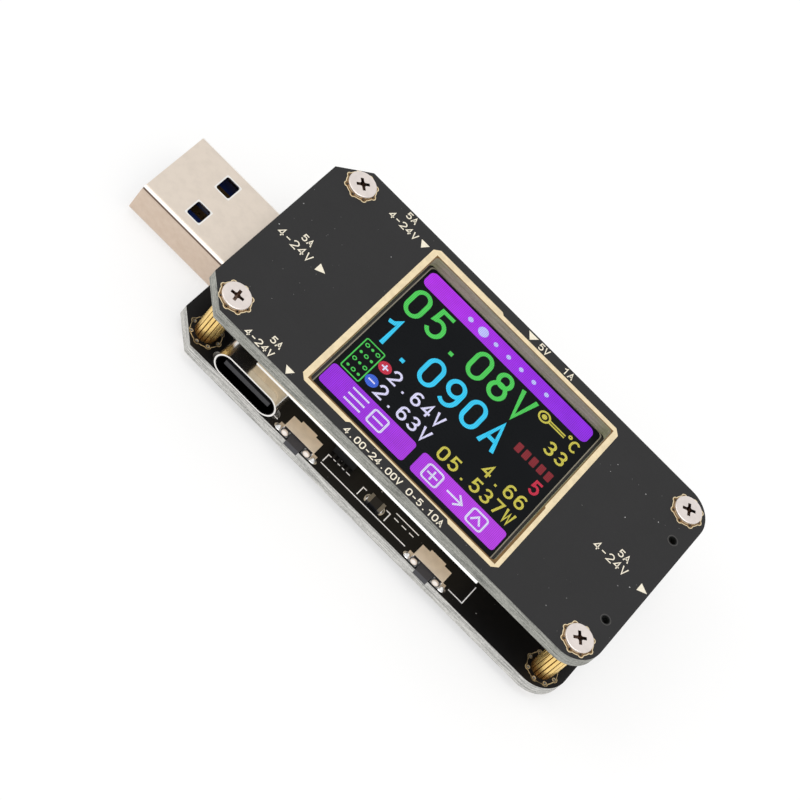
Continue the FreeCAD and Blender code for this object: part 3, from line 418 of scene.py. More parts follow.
def lit_material(name, strength, left, right=None):
    """Lit dots of the display: colour runs from left to right, cut by the dot grid."""
    span = 13.3
    pitch = 26.5 / 128
    shader = Shader(name)
    place = shader.place()
    along = shader.minus(place[0], GLASS_X / MM)
    colour = shader.mix(shader.step(along, -span, span * 0.75), left, right or left)
    bars = []
    for part in place[:2]:
        cell = shader.math("FRACT", shader.math("DIVIDE", part, pitch))
        bars.append(shader.spread(shader.step(shader.apart(cell, 0.5), 0.30, 0.5), 1.0, 0.55))
    cloud = shader.spread(shader.noise(0.6, 2), 0.86, 1.14)
    power = shader.times(shader.times(shader.times(*bars), cloud), strength)
    return shader.finish(
        Base_Color=grey(0.01), Roughness=0.3, Emission_Color=colour, Emission_Strength=power,
        Specular_IOR_Level=0.06)


def ink_material(name, colour, lit=0.0):
    """Printed ink or bare plating: slightly uneven at its own fine scale."""
    shader = Shader(name)
    patch = shader.noise(6, 3)
    base = shader.mix(shader.step(patch, 0.3, 0.8), colour, [level * 0.82 for level in colour])
    # A lit strength makes the ink glow: painted light.
    return shader.finish(
        Base_Color=base, Roughness=shader.spread(patch, 0.4, 0.6), Emission_Color=base,
        Emission_Strength=lit, Normal=shader.bump(shader.noise(20, 2), 0.006, 0.4))


def gold_material(name, colour, rough, metal=0.75, lit=0.0, dull=0.88):
    """Thin soft gold over copper, as on a board's bare pads, with duller worn patches."""
    shader = Shader(name)
    patch = shader.noise(1.2, 4)
    fine = shader.noise(15, 2)
    base = shader.mix(shader.step(patch, 0.35, 0.65), colour, [level * dull for level in colour])
    # A lit strength makes the gold glow: painted light.
    return shader.finish(
        Base_Color=base, Metallic=metal, Roughness=shader.spread(patch, rough - 0.08, rough + 0.08),
        Emission_Color=base, Emission_Strength=lit, Normal=shader.bump(fine, 0.004, 0.5))


def make_materials():
    """Every finish of the meter, by name."""
    metal = metal_material
    plastic = plastic_material
    khaki = ((0.22, 0.24, 0.12), (0.50, 0.50, 0.32))
    lit = (("lit_green", 1.3, (0.065, 0.52, 0.085)), ("lit_cyan", 1.2, (0.035, 0.56, 0.86)),
           ("lit_white", 1.15, (0.70, 0.68, 0.92)), ("lit_yellow", 1.1, (0.60, 0.54, 0.08)),
           ("lit_red", 1.0, (0.62, 0.03, 0.07)), ("lit_blue", 1.0, (0.05, 0.14, 0.75)),
           ("lit_maroon", 1.0, (0.26, 0.022, 0.032)), ("lit_lilac", 1.2, (0.48, 0.50, 0.92)),
           ("lit_violet", 1.08, (0.48, 0.035, 0.86), (0.30, 0.027, 0.82)),
           ("lit_key", 1.05, (0.34, 0.030, 0.79), (0.51, 0.055, 0.83)))
    finishes = {name: lit_material(name, *rest) for name, *rest in lit}
    return finishes | {
        "panel": board_material(
            "panel_mask", (0.0105, 0.0103, 0.0112), (0.10, 0.105, 0.095), (0.46, 0.46, 0.42), 0.34, khaki),
        "board": board_material(
            "board_mask", (0.003, 0.003, 0.0034), (0.22, 0.22, 0.21), (0.72, 0.71, 0.68), 0.25),
        "gold": gold_material("pad_gold", (0.90, 0.75, 0.49), 0.45, 0.35),
        # Dark gold: painted shade on the panel's pad floors and in the line inside the window's band.
        "gold_dark": gold_material("ring_gold", (0.24, 0.14, 0.055), 0.35),
        # A darker, glowing copy of the pad gold for the main board's pads: painted shade and painted
        # light, and its near-black patches are painted reflection.
        "gold_shaded": gold_material("ring_gold_shaded", (0.78, 0.60, 0.33), 0.3, 0.4, 0.10, 0.16),
        "contact": gold_material("contact_gold", (0.95, 0.66, 0.24), 0.22),
        # A darker copy of the contact gold: painted shade on contacts inside the plug and the USB-C
        # shells.
        "contact_dim": gold_material("contact_shaded", (0.17, 0.105, 0.04), 0.3),
        "brass": metal(
            "post_brass", (1.0, 0.70, 0.25), 0.26, grain=(1, 1, 0.2), shade=painted_post_shade, metal=0.7),
        "nickel": metal(
            "plug_nickel", (0.88, 0.78, 0.68), 0.36, 0.04, (1.4, 0.3, 1), dull=0.94,
            shade=painted_edge_light("usb_a_plug_shell", 0.8, painted_window_highlights)),
        "socket": metal(
            "socket_nickel", (0.88, 0.78, 0.68), 0.36, 0.04, (1.4, 0.3, 1), dull=0.94,
            shade=painted_edge_light("usb_a_socket_shell", 0.5)),
        "screw": metal("screw_nickel", (0.92, 0.84, 0.80), 0.34, shade=painted_recess_shade),
        "bright": metal("steel", (0.88, 0.86, 0.83), 0.20, 0.05),
        "typec": metal("typec_steel", (0.92, 0.90, 0.87), 0.18, 0.05, shade=painted_mouth_shade),
        "cover": metal("cover_steel", (0.90, 0.78, 0.64), 0.38, shade=painted_cover_light, metal=0.3),
        "solder": metal("solder_tin", (0.88, 0.88, 0.88), 0.26, 0.08, depth=0.02),
        "tin": metal("chip_tin", (0.36, 0.35, 0.34), 0.30, 0.08, depth=0.02),
        "white": frame_material(),
        # The reflector sheet glows, as painted light between the boards.
        "sheet": plastic("reflector_sheet", (0.55, 0.46, 0.34), 0.4, lit=(0.34, 0.29, 0.21)),
        "dark_ring": plastic("display_dark_ring", (0.018, 0.016, 0.014), 0.4),
        "brown_rim": plastic("display_brown_rim", (0.30, 0.27, 0.21), 0.4),
        "tape": plastic("tape_black", (0.012, 0.012, 0.013), 0.6),
        "screen": screen_material(),
        "flex": plastic("flex_amber", (0.42, 0.18, 0.03), 0.3),
        "nylon": plastic("connector_nylon", (0.70, 0.62, 0.46), 0.45),
        "blue": plastic("insulator_blue", (0.008, 0.024, 0.13), 0.3),
        "black": plastic("moulded_black", (0.014, 0.014, 0.015), 0.4),
        "slate": plastic("tongue_slate", (0.019, 0.019, 0.023), 0.45),
        "plunger": plastic("button_grey", (0.040, 0.039, 0.047), 0.5, 0.02),
        "resin": plastic("chip_resin", (0.012, 0.012, 0.013), 0.55, 0.02),
        "resistor": plastic("resistor_glaze", (0.010, 0.010, 0.012), 0.3),
        "ceramic": plastic("capacitor_body", (0.32, 0.19, 0.10), 0.4),
        "ink": ink_material("panel_ink", (0.93, 0.86, 0.70)),
        "dull_ink": ink_material("ring_ink", (0.05, 0.048, 0.045)),
        # The board's white ink glows: painted light.
        "silk": ink_material("board_ink", (0.95, 0.95, 0.96), lit=0.22),
    }


M = make_materials()

# Each row has a finish, the width in millimetres that eases the edges, and the nodes.
CAD_FINISHES = (
    ("panel", 0.05, ["front_panel"]),
    ("board", 0.05, ["main_board"]),
    ("brass", 0, ["standoffs"]),
    ("screw", 0.03, ["front_screws", "rear_screws"]),
    ("screen", 0, ["display_glass"]),
    ("white", 0.12, ["display_frame"]),
    ("tape", 0, ["display_tape"]),
    ("sheet", 0, ["display_back_sheet"]),
    ("flex", 0, ["display_flex"]),
    ("nylon", 0, ["display_connector"]),
    ("nickel", 0.06, ["usb_a_plug_shell"]),
    ("blue", 0.05, ["usb_a_plug_insulator"]),
    ("contact_dim", 0, ["usb_a_plug_contacts", "usb_c_out_contacts", "usb_c_in_contacts"]),
    ("socket", 0.05, ["usb_a_socket_shell"]),
    ("black", 0.06, ["usb_a_socket_insulator"]),
    ("contact", 0, ["usb_a_socket_contacts", "micro_socket_contacts"]),
    ("typec", 0.07, ["usb_c_out_shell", "usb_c_in_shell"]),
    ("slate", 0.05, ["usb_c_out_insert", "usb_c_in_insert"]),
    ("bright", 0.05, ["micro_socket_shell"]),
    ("black", 0, ["micro_socket_insert"]),
    ("plunger", 0.18, ["button_near_left", "button_near_right", "button_far_left", "button_far_right"]),
    ("black", 0.05, ["switch_bases"]),
    ("cover", 0.04, ["switch_covers"]),
    ("resin", 0.04, ["microcontroller", "current_sense_chip", "memory_chip"]),
    ("resin", 0.05, ["regulator"]),
    ("resin", 0.2, ["inductor"]),
    ("resistor", 0.05, ["shunt_resistor"]),
    ("resistor", 0.06, ["resistors"]),
    ("ceramic", 0.12, ["capacitors"]),
    ("bright", 0.1, ["crystal"]),
)


def finish_cad_nodes():
    """Gives each CAD node its finish, and eases the edges of those that catch the light."""
    for finish, width, nodes in CAD_FINISHES:
        for item in (NODES[node] for node in nodes):
            item.data.materials.clear()
            item.data.materials.append(M[finish])
            if width:
                bevel = item.modifiers.new("eased_edges", "BEVEL")
                bevel.width = width * MM
                bevel.segments = 2
                bevel.limit_method = "ANGLE"
                bevel.angle_limit = math.radians(40)


# ---- mesh building

def add_object(name, data):
    item = bpy.data.objects.new(name, data)
    bpy.context.scene.collection.objects.link(item)
    return item


def new_piece(name, fill, material, origin=(0, 0, 0)):
    """A mesh piece of the meter, filled by a function that draws in millimetres from an origin."""
    mesh = bpy.data.meshes.new(name)
    shape = bmesh.new()
    fill(shape)
    bmesh.ops.transform(shape, matrix=Matrix.Translation(origin) @ Matrix.Scale(MM, 4),
                        verts=shape.verts)
    bmesh.ops.recalc_face_normals(shape, faces=shape.faces)
    shape.to_mesh(mesh)
    shape.free()
    mesh.materials.append(M[material])
    item = add_object(name, mesh)
    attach(item, ROOT)


def pairs(loop):
    """Each item of a loop with the one after it."""
    return zip(loop, loop[1:] + loop[:1])


def add_wall(shape, lower, upper):
    """Faces between two loops of as many corners."""
    for (low_here, low_after), (high_here, high_after) in zip(pairs(lower), pairs(upper)):
        shape.faces.new((low_here, low_after, high_after, high_here))


def add_prism(shape, outline, low, high):
    """A closed solid that raises a flat convex outline from one height to another."""
    base = [shape.verts.new((x, y, low)) for x, y in outline]
    top = [shape.verts.new((x, y, high)) for x, y in outline]
    shape.faces.new(base[::-1])
    shape.faces.new(top)
    add_wall(shape, base, top)


def add_plate(shape, outlines, low, high):
    """A flat plate between two heights: the first outline is its rim and the others are holes."""
    loops = []
    edges = []
    for outline in outlines:
        loop = [shape.verts.new((x, y, low)) for x, y in outline]
        edges += [shape.edges.new(pair) for pair in pairs(loop)]
        loops.append(loop)
    filled = bmesh.ops.triangle_fill(shape, use_beauty=True, edges=edges)["geom"]
    base = [face for face in filled if isinstance(face, bmesh.types.BMFace)]
    raised = {vert: shape.verts.new((vert.co.x, vert.co.y, high)) for loop in loops for vert in loop}
    for face in base:
        shape.faces.new([raised[vert] for vert in face.verts])
    for loop in loops:
        add_wall(shape, loop, [raised[vert] for vert in loop])


def ribbon_outline(points, width, closed):
    """The two edges of a stroke along points."""
    left = []
    right = []
    count = len(points)
    for number, point in enumerate(points):
        before = points[number - 1] if closed or number else point
        after = points[(number + 1) % count] if closed or number < count - 1 else point
        into = (point - before).normalized() if point != before else (after - point).normalized()
        out = (after - point).normalized() if after != point else into
        lean = into + out
        lean = lean.normalized() if lean.length > 1e-6 else into
        side = Vector((-lean.y, lean.x))
        reach = width / 2 / max(0.45, abs(side.dot(Vector((-into.y, into.x)))))
        left.append(point + side * reach)
        right.append(point - side * reach)
    return left, right


def add_stroke(shape, points, width, low, high, closed=False):
    """A raised stroke of even width along a line of points."""
    points = [Vector(point) for point in points]
    if not closed:
        start = (points[1] - points[0]).normalized()
        end = (points[-1] - points[-2]).normalized()
        points[0] = points[0] - start * width * 0.3
        points[-1] = points[-1] + end * width * 0.3
    left, right = ribbon_outline(points, width, closed)
    if closed:
        add_plate(shape, [left, right], low, high)
        return
    rims = [[shape.verts.new((p.x, p.y, level)) for p in edge]
            for edge, level in ((left, low), (left, high), (right, high), (right, low))]
    for here, there in pairs(rims):
        for number in range(len(points) - 1):
            shape.faces.new((here[number], here[number + 1], there[number + 1], there[number]))
    for number in (0, -1):
        shape.faces.new([rim[number] for rim in rims])


def arc(x, y, reach_x, reach_y, start, end):
    """Points along part of an ellipse, angles in degrees."""
    steps = max(3, round(abs(end - start) / 15))
    turns = [math.radians(start + (end - start) * step / steps) for step in range(steps + 1)]
    return [(x + reach_x * math.cos(turn), y + reach_y * math.sin(turn)) for turn in turns]


def disc(x, y, radius, steps=24):
    """The outline of a round spot."""
    turns = [2 * math.pi * step / steps for step in range(steps)]
    return [(x + radius * math.cos(turn), y + radius * math.sin(turn)) for turn in turns]


def rounded_box(x, y, length, width, radius):
    """The outline of a rectangle with round corners, about a middle point."""
    points = []
    for way_x, way_y, start in ((1, -1, -90), (1, 1, 0), (-1, 1, 90), (-1, -1, 180)):
        centre_x = x + way_x * (length / 2 - radius)
        centre_y = y + way_y * (width / 2 - radius)
        points += arc(centre_x, centre_y, radius, radius, start, start + 90)
    return points


# ---- stroke signs

def sign_strokes():
    """Each sign as strokes (points, closed) in a cell from -0.5 to 0.5 across and 0 to 1 up."""
    tall_loop = arc(0, 0.70, 0.5, 0.30, 0, 180) + arc(0, 0.30, 0.5, 0.30, 180, 360)
    small_top = arc(0, 0.755, 0.42, 0.245, 0, 345)
    low_bowl = arc(0, 0.29, 0.5, 0.29, 0, 345)
    six = arc(0.05, 0.62, 0.55, 0.38, 55, 180) + [(-0.5, 0.3)]
    nine = [(-x, 1 - y) for x, y in six]

    def line(*points):
        return (list(points), False)

    return {
        "0": [(tall_loop, True)],
        "1": [line((-0.42, 0.78), (-0.12, 0.82), (0.1, 1.0), (0.1, 0.0))],
        "2": [line(*arc(0, 0.70, 0.5, 0.30, 165, -25), (-0.5, 0.0), (0.5, 0.0))],
        "3": [line(*arc(-0.03, 0.755, 0.45, 0.245, 150, -90), *arc(-0.03, 0.26, 0.5, 0.26, 85, -150))],
        "4": [line((0.22, 0.0), (0.22, 1.0), (-0.5, 0.28), (0.5, 0.28))],
        "5": [line((0.42, 1.0), (-0.34, 1.0), (-0.42, 0.55), *arc(0, 0.32, 0.5, 0.32, 130, -145))],
        "6": [line(*six), (low_bowl, True)],
        "7": [line((-0.5, 1.0), (0.5, 1.0), (-0.1, 0.0))],
        "8": [(small_top, True), (low_bowl, True)],
        "9": [line(*nine), ([(-x, 1 - y) for x, y in low_bowl], True)],
        ".": [line((-0.06, 0.05), (0.06, 0.05))],
        "-": [line((-0.35, 0.45), (0.35, 0.45))],
        "V": [line((-0.5, 1.0), (0.0, 0.0), (0.5, 1.0))],
        "A": [line((-0.5, 0.0), (0.0, 1.0), (0.5, 0.0)), line((-0.32, 0.33), (0.32, 0.33))],
        "W": [line((-0.55, 1.0), (-0.28, 0.0), (0.0, 0.8), (0.28, 0.0), (0.55, 1.0))],
        "C": [line(*arc(0.05, 0.5, 0.5, 0.5, 50, 310))],
        "o": [(arc(-0.1, 0.85, 0.17, 0.13, 0, 345), True)],
    }


SIGNS = sign_strokes()


def add_signs(shape, text, x, y, cell, stroke, low, high, pitch):
    """Signs in a row: x, y is the middle of the first cell's foot, and cell its two sizes."""
    for number, sign in enumerate(text):
        if sign == " ":
            continue
        for points, closed in SIGNS[sign]:
            placed = [(x + number * pitch + px * cell[0], y + py * cell[1]) for px, py in points]
            add_stroke(shape, placed, stroke, low, high, closed)


# ---- panel's top

def gold_frame():
    """The bare plated band round the window, with its stepped edges and a dark line of painted shade
    inside it.
    """
    left, right = -14.75, 14.9
    far_wide, far_narrow = 14.05, 13.75
    near_wide, near_narrow = -13.85, -13.45
    cut = 0.7
    outer = [
        (left, near_wide + cut), (left + cut, near_wide), (-7.75, near_wide),
        (-7.35, near_narrow), (7.35, near_narrow), (7.7, near_wide),
        (right - cut, near_wide), (right, near_wide + cut),
        (right, far_narrow - cut), (right - cut, far_narrow), (-3.85, far_narrow),
        (-4.2, far_wide), (left + cut, far_wide), (left, far_wide - cut),
    ]
    half_width = WINDOW["width"] / 2
    window_left = WINDOW["x"] - WINDOW["length"] / 2
    window_right = WINDOW["x"] + WINDOW["length"] / 2
    inner = [
        (window_left - 0.12, -half_width - 0.2), (window_right + 0.3, -half_width - 0.2),
        (window_right + 0.3, -2.4), (window_right + 0.12, -2.2),
        (window_right + 0.12, half_width + 0.12), (window_left - 0.12, half_width + 0.12),
    ]

    def fill(shape):
        add_plate(shape, [outer, inner], 0, PLATING)

    def fill_line(shape):
        window = rounded_box(WINDOW["x"], 0, WINDOW["length"], WINDOW["width"], WINDOW["radius"])
        add_plate(shape, [inner, window], 0, PLATING / 2)

    new_piece("gold_frame", fill, "gold", PANEL_ORIGIN)
    new_piece("gold_inner_line", fill_line, "gold_dark", PANEL_ORIGIN)


def glass_surround():
    """A dark ring between the edge of the glass and the tape, inside the window, and a brownish rim round
    the glass.
    """
    origin = (PANEL_X, 0, GLASS_TOP)
    glass = GLASS_HIGH - GLASS_LOW
    rim = 0.26

    def round_glass(reach):
        return rounded_box((GLASS_X - PANEL_X) / MM, GLASS_ORIGIN[1] / MM, glass.x / MM + reach,
                           glass.y / MM + reach, 0.6)

    def fill(shape):
        margin = 0.55
        outer = rounded_box(WINDOW["x"], 0, WINDOW["length"] + margin, WINDOW["width"] + margin,
                            WINDOW["radius"])
        add_plate(shape, [outer, round_glass(rim)], 0, INK)

    def fill_edge(shape):
        add_plate(shape, [round_glass(rim), round_glass(0)], 0, INK)

    new_piece("display_dark_ring", fill, "dark_ring", origin)
    new_piece("display_brown_rim", fill_edge, "brown_rim", origin)


def clear_of_chamfer(x, y, gap):
    """A point moved in, if need be, to stay clear of the chamfered corners of the boards."""
    over = CHAMFER - (x - PANEL_LOW.x / MM) - (PANEL_HIGH.y / MM - abs(y)) + gap * math.sqrt(2)
    if over <= 0:
        return (x, y)
    return (x + over / 2, y - math.copysign(over / 2, y))


def scalloped(x, y, inset):
    """A round outline with a lobe round each via of a post, drawn in by an inset."""
    points = []
    steps = VIA_COUNT * 12
    pitch = 2 * math.pi / VIA_COUNT
    base = PAD_RADIUS - inset
    lobe = VIA_LOBE - inset
    for number in range(steps):
        turn = 2 * math.pi * number / steps
        off = (turn + pitch / 2) % pitch - pitch / 2
        across = VIA_RING * math.sin(off)
        reach = base
        if abs(across) < lobe:
            reach = max(base, VIA_RING * math.cos(off) + math.sqrt(lobe * lobe - across * across))
        spot = (x + reach * math.cos(turn), y + reach * math.sin(turn))
        points.append(clear_of_chamfer(*spot, 0.05 + inset))
    return points


def via_pads(label, level, way):
    """The scalloped plated pads round the posts' screws, on one face of a board."""
    on_panel = label.startswith("panel")
    line = 0.1 if on_panel else 0.09
    skin = way * 0.008
    turns = [2 * math.pi * number / VIA_COUNT for number in range(VIA_COUNT)]

    def fill_floor(shape):
        for x, y in POSTS:
            spots = [(x + VIA_RING * math.cos(turn), y + VIA_RING * math.sin(turn)) for turn in turns]
            holes = [disc(*spot, VIA_HOLE, 16) for spot in spots]
            if on_panel:
                add_plate(shape, [scalloped(x, y, line), disc(x, y, SCREW_HOLE)] + holes, 0, skin)
                continue
            for spot, hole in zip(spots, holes):
                add_plate(shape, [disc(*spot, VIA_COPPER, 16), hole], 0, skin)

    def fill_rim(shape):
        for x, y in POSTS:
            add_plate(shape, [scalloped(x, y, 0), scalloped(x, y, line)], 0, way * PLATING)

    # On the panel the pad floors are painted shade; on the main board both take the glowing darker copy of
    # the gold.
    inner, outer = ("gold_dark", "gold") if on_panel else ("gold_shaded", "gold_shaded")
    new_piece("via_floor_" + label, fill_floor, inner, (0, 0, level))
    new_piece("via_rim_" + label, fill_rim, outer, (0, 0, level))


def marker_rings():
    """Thin rings round the two marker holes at the socket's end of the panel."""

    def fill(shape):
        for y in (-MARKER_Y, MARKER_Y):
            add_plate(shape, [disc(MARKER_X, y, radius) for radius in (0.70, 0.60)], 0, INK)

    new_piece("marker_rings", fill, "dull_ink", PANEL_ORIGIN)


def triangle(x, y, length, width, way):
    """A solid arrow head with its middle at a point."""
    if way == "right":
        return [(x - length / 2, y - width / 2), (x + length / 2, y), (x - length / 2, y + width / 2)]
    return [(x - width / 2, y + length / 2), (x, y - length / 2), (x + width / 2, y + length / 2)]


def legends():
    """Ratings as numbers with units, and arrow heads that point to the connectors."""

    def fill(shape):
        # Each row is a text, the middle of its first sign's foot, and its height.
        rows = (("5A", -25.4, 0.35, 0.9), ("4-24V", -27.6, -1.5, 1.1), ("5A", -19.4, 14.0, 0.9),
                ("4-24V", -20.8, 12.25, 0.95), ("5A", -19.4, -13.3, 0.9), ("4-24V", -21.9, -15.0, 0.9),
                ("5V", 1.7, 14.05, 0.9), ("1A", 5.6, 14.05, 0.9), ("5A", 23.9, 0.35, 0.95),
                ("4-24V", 21.3, -1.35, 1.1), ("4.00-24.00V 0-5.10A", -7.0, -14.95, 0.85))
        for text, x, y, tall in rows:
            add_signs(shape, text, x, y, (tall * 0.62, tall), 0.15, 0, INK, tall * 0.92)
        arrows = ((-21.55, -0.9, 1.15, 1.3, "right"), (28.35, -0.8, 1.2, 1.25, "right"),
                  (-15.9, 12.7, 1.05, 1.25, "down"), (-15.9, -14.55, 1.0, 1.25, "down"),
                  (0.15, 14.5, 1.0, 1.5, "down"))
        for x, y, length, width, way in arrows:
            add_prism(shape, triangle(x, y, length, width, way), 0, INK)

    new_piece("panel_legends", fill, "ink", PANEL_ORIGIN)


# ---- display content

def lit_piece(name, fill, material):
    """A piece of the picture on the display's glass."""
    new_piece(name, fill, material, GLASS_ORIGIN)


def lit_signs(name, material, items):
    """Signs lit on the glass: items are (text, first x, foot, height, stroke, pitch)."""

    def fill(shape):
        for text, x, foot, tall, stroke, pitch in items:
            add_signs(shape, text, x, foot, (pitch * 0.78 - stroke, tall), stroke, 0, LIT, pitch)

    lit_piece(name, fill, material)


def display_bars():
    """The violet bar along the top with its dots, and the two keys along the bottom."""

    def fill_bars(shape):
        add_prism(shape, rounded_box(-0.23, 11.05, 25.9, 2.6, 0.8), 0, LIT)

    def fill_keys(shape):
        for x, y, length in ((-6.98, -9.49, 12.8), (6.84, -9.41, 12.75)):
            add_prism(shape, rounded_box(x, y, length, 3.4, 0.5), 0, LIT)

    def fill_marks(shape):
        radii = (0.36, 0.7, 0.31, 0.31, 0.31, 0.31, 0.31)
        for number, radius in enumerate(radii):
            add_prism(shape, disc(-6.27 + number * 2.013, 11.05, radius), LIT, 2 * LIT)

    lit_piece("display_bar", fill_bars, "lit_violet")
    lit_piece("display_keys", fill_keys, "lit_key")
    lit_piece("display_marks", fill_marks, "lit_lilac")
    lit_piece("key_icons", key_icons, "lit_white")


def key_icons(shape):
    """Plain line icons on the keys: list, framed bar, framed cross, arrow and framed caret."""
    foot, head = -10.6, -8.3
    middle = (foot + head) / 2

    def line(*points, closed=False):
        add_stroke(shape, list(points), 0.26, LIT, 2 * LIT, closed)

    for level in (foot + 0.2, middle, head - 0.2):
        line((-9.9, level), (-7.6, level))
    line(*rounded_box(-5.5, middle, 2.1, 2.1, 0.3), closed=True)
    line((-6.2, middle), (-4.8, middle))
    for centre in (2.9, 9.7):
        line(*rounded_box(centre, middle, 2.2, 2.2, 0.4), closed=True)
    line((2.9, foot + 0.5), (2.9, head - 0.5))
    line((2.2, middle), (3.6, middle))
    line((5.2, middle), (7.4, middle))
    line((6.6, middle + 0.8), (7.4, middle), (6.6, middle - 0.8))
    line((9.1, middle - 0.4), (9.7, middle + 0.5), (10.3, middle - 0.4))


def display_readings():
    """The measured values and the small marks beside them."""
    big = 3.27
    small = 1.65
    lit_signs("reading_volts", "lit_green", [("05.08V", -11.63, 4.95, 4.05, 0.56, big)])
    lit_signs("reading_amps", "lit_cyan", [("1.090A", -11.63, -0.9, 4.05, 0.56, big)])
    lit_signs("reading_lines", "lit_white", [("2.64V", -7.45, -4.1, 1.8, 0.3, small),
                                             ("2.63V", -7.45, -6.98, 1.8, 0.3, small)])
    lit_signs("reading_others", "lit_yellow", [
        ("33", 10.3, 4.75, 1.8, 0.32, small), ("C", 12.1, 7.6, 1.5, 0.28, small),
        ("o", 11.2, 7.75, 1.5, 0.2, small), ("4.66", 6.95, -4.1, 1.8, 0.3, small),
        ("05.537W", 2.1, -6.95, 1.8, 0.3, small)])
    lit_signs("reading_group", "lit_red", [("5", 12.03, -1.1, 1.85, 0.34, small)])

    def fill_thermometer(shape):
        add_plate(shape, [disc(7.37, 8.44, 0.85), disc(7.37, 8.44, 0.6)], 0, LIT)
        add_prism(shape, disc(7.37, 8.44, 0.35), 0, LIT)
        for level in (8.62, 8.26):
            add_stroke(shape, [(8.2, level), (10.5, level)], 0.2, 0, LIT)

    lit_piece("thermometer", fill_thermometer, "lit_yellow")

    def fill_blocks(shape):
        for number in range(5):
            add_prism(shape, rounded_box(7.65 + number * 1.15, 2.42, 0.8, 1.4, 0.12), 0, LIT)

    lit_piece("group_blocks", fill_blocks, "lit_maroon")

    def fill_grid(shape):
        add_stroke(shape, rounded_box(-11.41, -4.68, 2.7, 5.5, 0.2), 0.16, 0, LIT, True)
        for row in range(4):
            for column in range(3):
                x = -12.2 + column * 0.79
                y = -2.7 - row * 1.32
                if (row + column) % 2:
                    add_prism(shape, disc(x, y, 0.2, 12), 0, LIT)
                else:
                    add_plate(shape, [disc(x, y, 0.3, 16), disc(x, y, 0.17, 16)], 0, LIT)

    lit_piece("signal_grid", fill_grid, "lit_green")


def line_mark(name, y, material, plus):
    """A round spot with a plus or a minus sign, before a reading."""
    x = -9.09
    half = 0.41
    stroke = 0.22

    def fill_spot(shape):
        add_prism(shape, disc(x, y, 0.85), 0, LIT)

    def fill_sign(shape):
        add_stroke(shape, [(x - half, y), (x + half, y)], stroke, LIT, 2 * LIT)
        if plus:
            add_stroke(shape, [(x, y - half), (x, y + half)], stroke, LIT, 2.2 * LIT)

    lit_piece(name + "_spot", fill_spot, material)
    lit_piece(name + "_sign", fill_sign, "lit_white")


# ---- main board

def islands(node):
    """The box of each separate solid of a CAD node, as low and high corners in millimetres."""
    shape = bmesh.new()
    shape.from_mesh(NODES[node].data)
    bmesh.ops.remove_doubles(shape, verts=shape.verts, dist=1e-7)
    boxes = []
    found = set()
    for start in shape.verts:
        if start in found:
            continue
        found.add(start)
        solid = [start]
        for vert in solid:
            beside = {edge.other_vert(vert) for edge in vert.link_edges} - found
            found |= beside
            solid += beside
        boxes.append([Vector([pick(vert.co[axis] for vert in solid) for axis in range(3)]) / MM
                      for pick in (min, max)])
    shape.free()
    return sorted(boxes, key=lambda box: tuple(box[0]))


def add_box(shape, low, high):
    add_prism(shape, [(low[0], low[1]), (high[0], low[1]), (high[0], high[1]), (low[0], high[1])],
              low[2], high[2])


def chip_ends():
    """Tinned caps that wrap the ends of each resistor and capacitor, the shunt among them."""
    skin = 0.03

    def fill(shape):
        for node in ("resistors", "capacitors"):
            for low, high in islands(node):
                reach = (high.x - low.x) * 0.2
                for start, end in ((low.x - skin, low.x + reach), (high.x - reach, high.x + skin)):
                    add_box(shape, (start, low.y - skin, low.z), (end, high.y + skin, high.z + skin))
        for low, high in islands("shunt_resistor"):
            for start, end in ((low.y - skin, low.y + 1.0), (high.y - 1.0, high.y + skin)):
                add_box(shape, (low.x - skin, start, low.z), (high.x + skin, end, high.z + skin))

    new_piece("chip_ends", fill, "tin")


def add_mound(shape, x, y, level, reach_x, reach_y, height):
    """A solder fillet: a low dome whose sides flow out onto the board."""
    rings = []
    profile = ((1.0, 0.0), (0.78, 0.10), (0.56, 0.30), (0.38, 0.62), (0.24, 0.90), (0.1, 1.0))
    for share, rise in profile:
        loop = [shape.verts.new((px, py, level + height * rise))
                for px, py in arc(x, y, reach_x * share, reach_y * share, 0, 345)]
        rings.append(loop)
    shape.faces.new(rings[0][::-1])
    shape.faces.new(rings[-1])
    for lower, upper in zip(rings, rings[1:]):
        add_wall(shape, lower, upper)


def solder_joints():
    """Solder where metal meets the main board: switch feet, chip ends and shield legs."""
    level = BOARD_TOP / MM
    under = BOARD_LOW.z / MM
    legs = (1.65, 5.55)

    def fill(shape):
        for low, high in islands("switch_covers"):
            front = low.y + 0.62 if low.y < 0 else high.y - 0.62
            for x in (low.x + 0.22, high.x - 0.22):
                add_mound(shape, x, front, level, 0.62, 0.42, 0.42)
        for node in ("resistors", "capacitors"):
            for low, high in islands(node):
                width = (high.y - low.y) / 2
                for x in (low.x - 0.05, high.x + 0.05):
                    add_mound(shape, x, (low.y + high.y) / 2, level, 0.35, width, 0.3)

    def fill_below(shape):
        low, high = (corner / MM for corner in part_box("usb_a_socket_shell"))
        for y in (low.y + 0.15, high.y - 0.15):
            add_mound(shape, high.x - 5.2, y, under, 1.3, 0.6, -0.5)
        for node in ("usb_c_out_shell", "usb_c_in_shell"):
            low, high = (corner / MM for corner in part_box(node))
            for x in (low.x + 0.16, high.x - 0.16):
                for leg in legs:
                    y = low.y + leg if low.y < 0 else high.y - leg
                    add_mound(shape, x, y, under, 0.5, 0.85, -0.4)

    new_piece("solder_top", fill, "solder")
    new_piece("solder_below", fill_below, "solder")


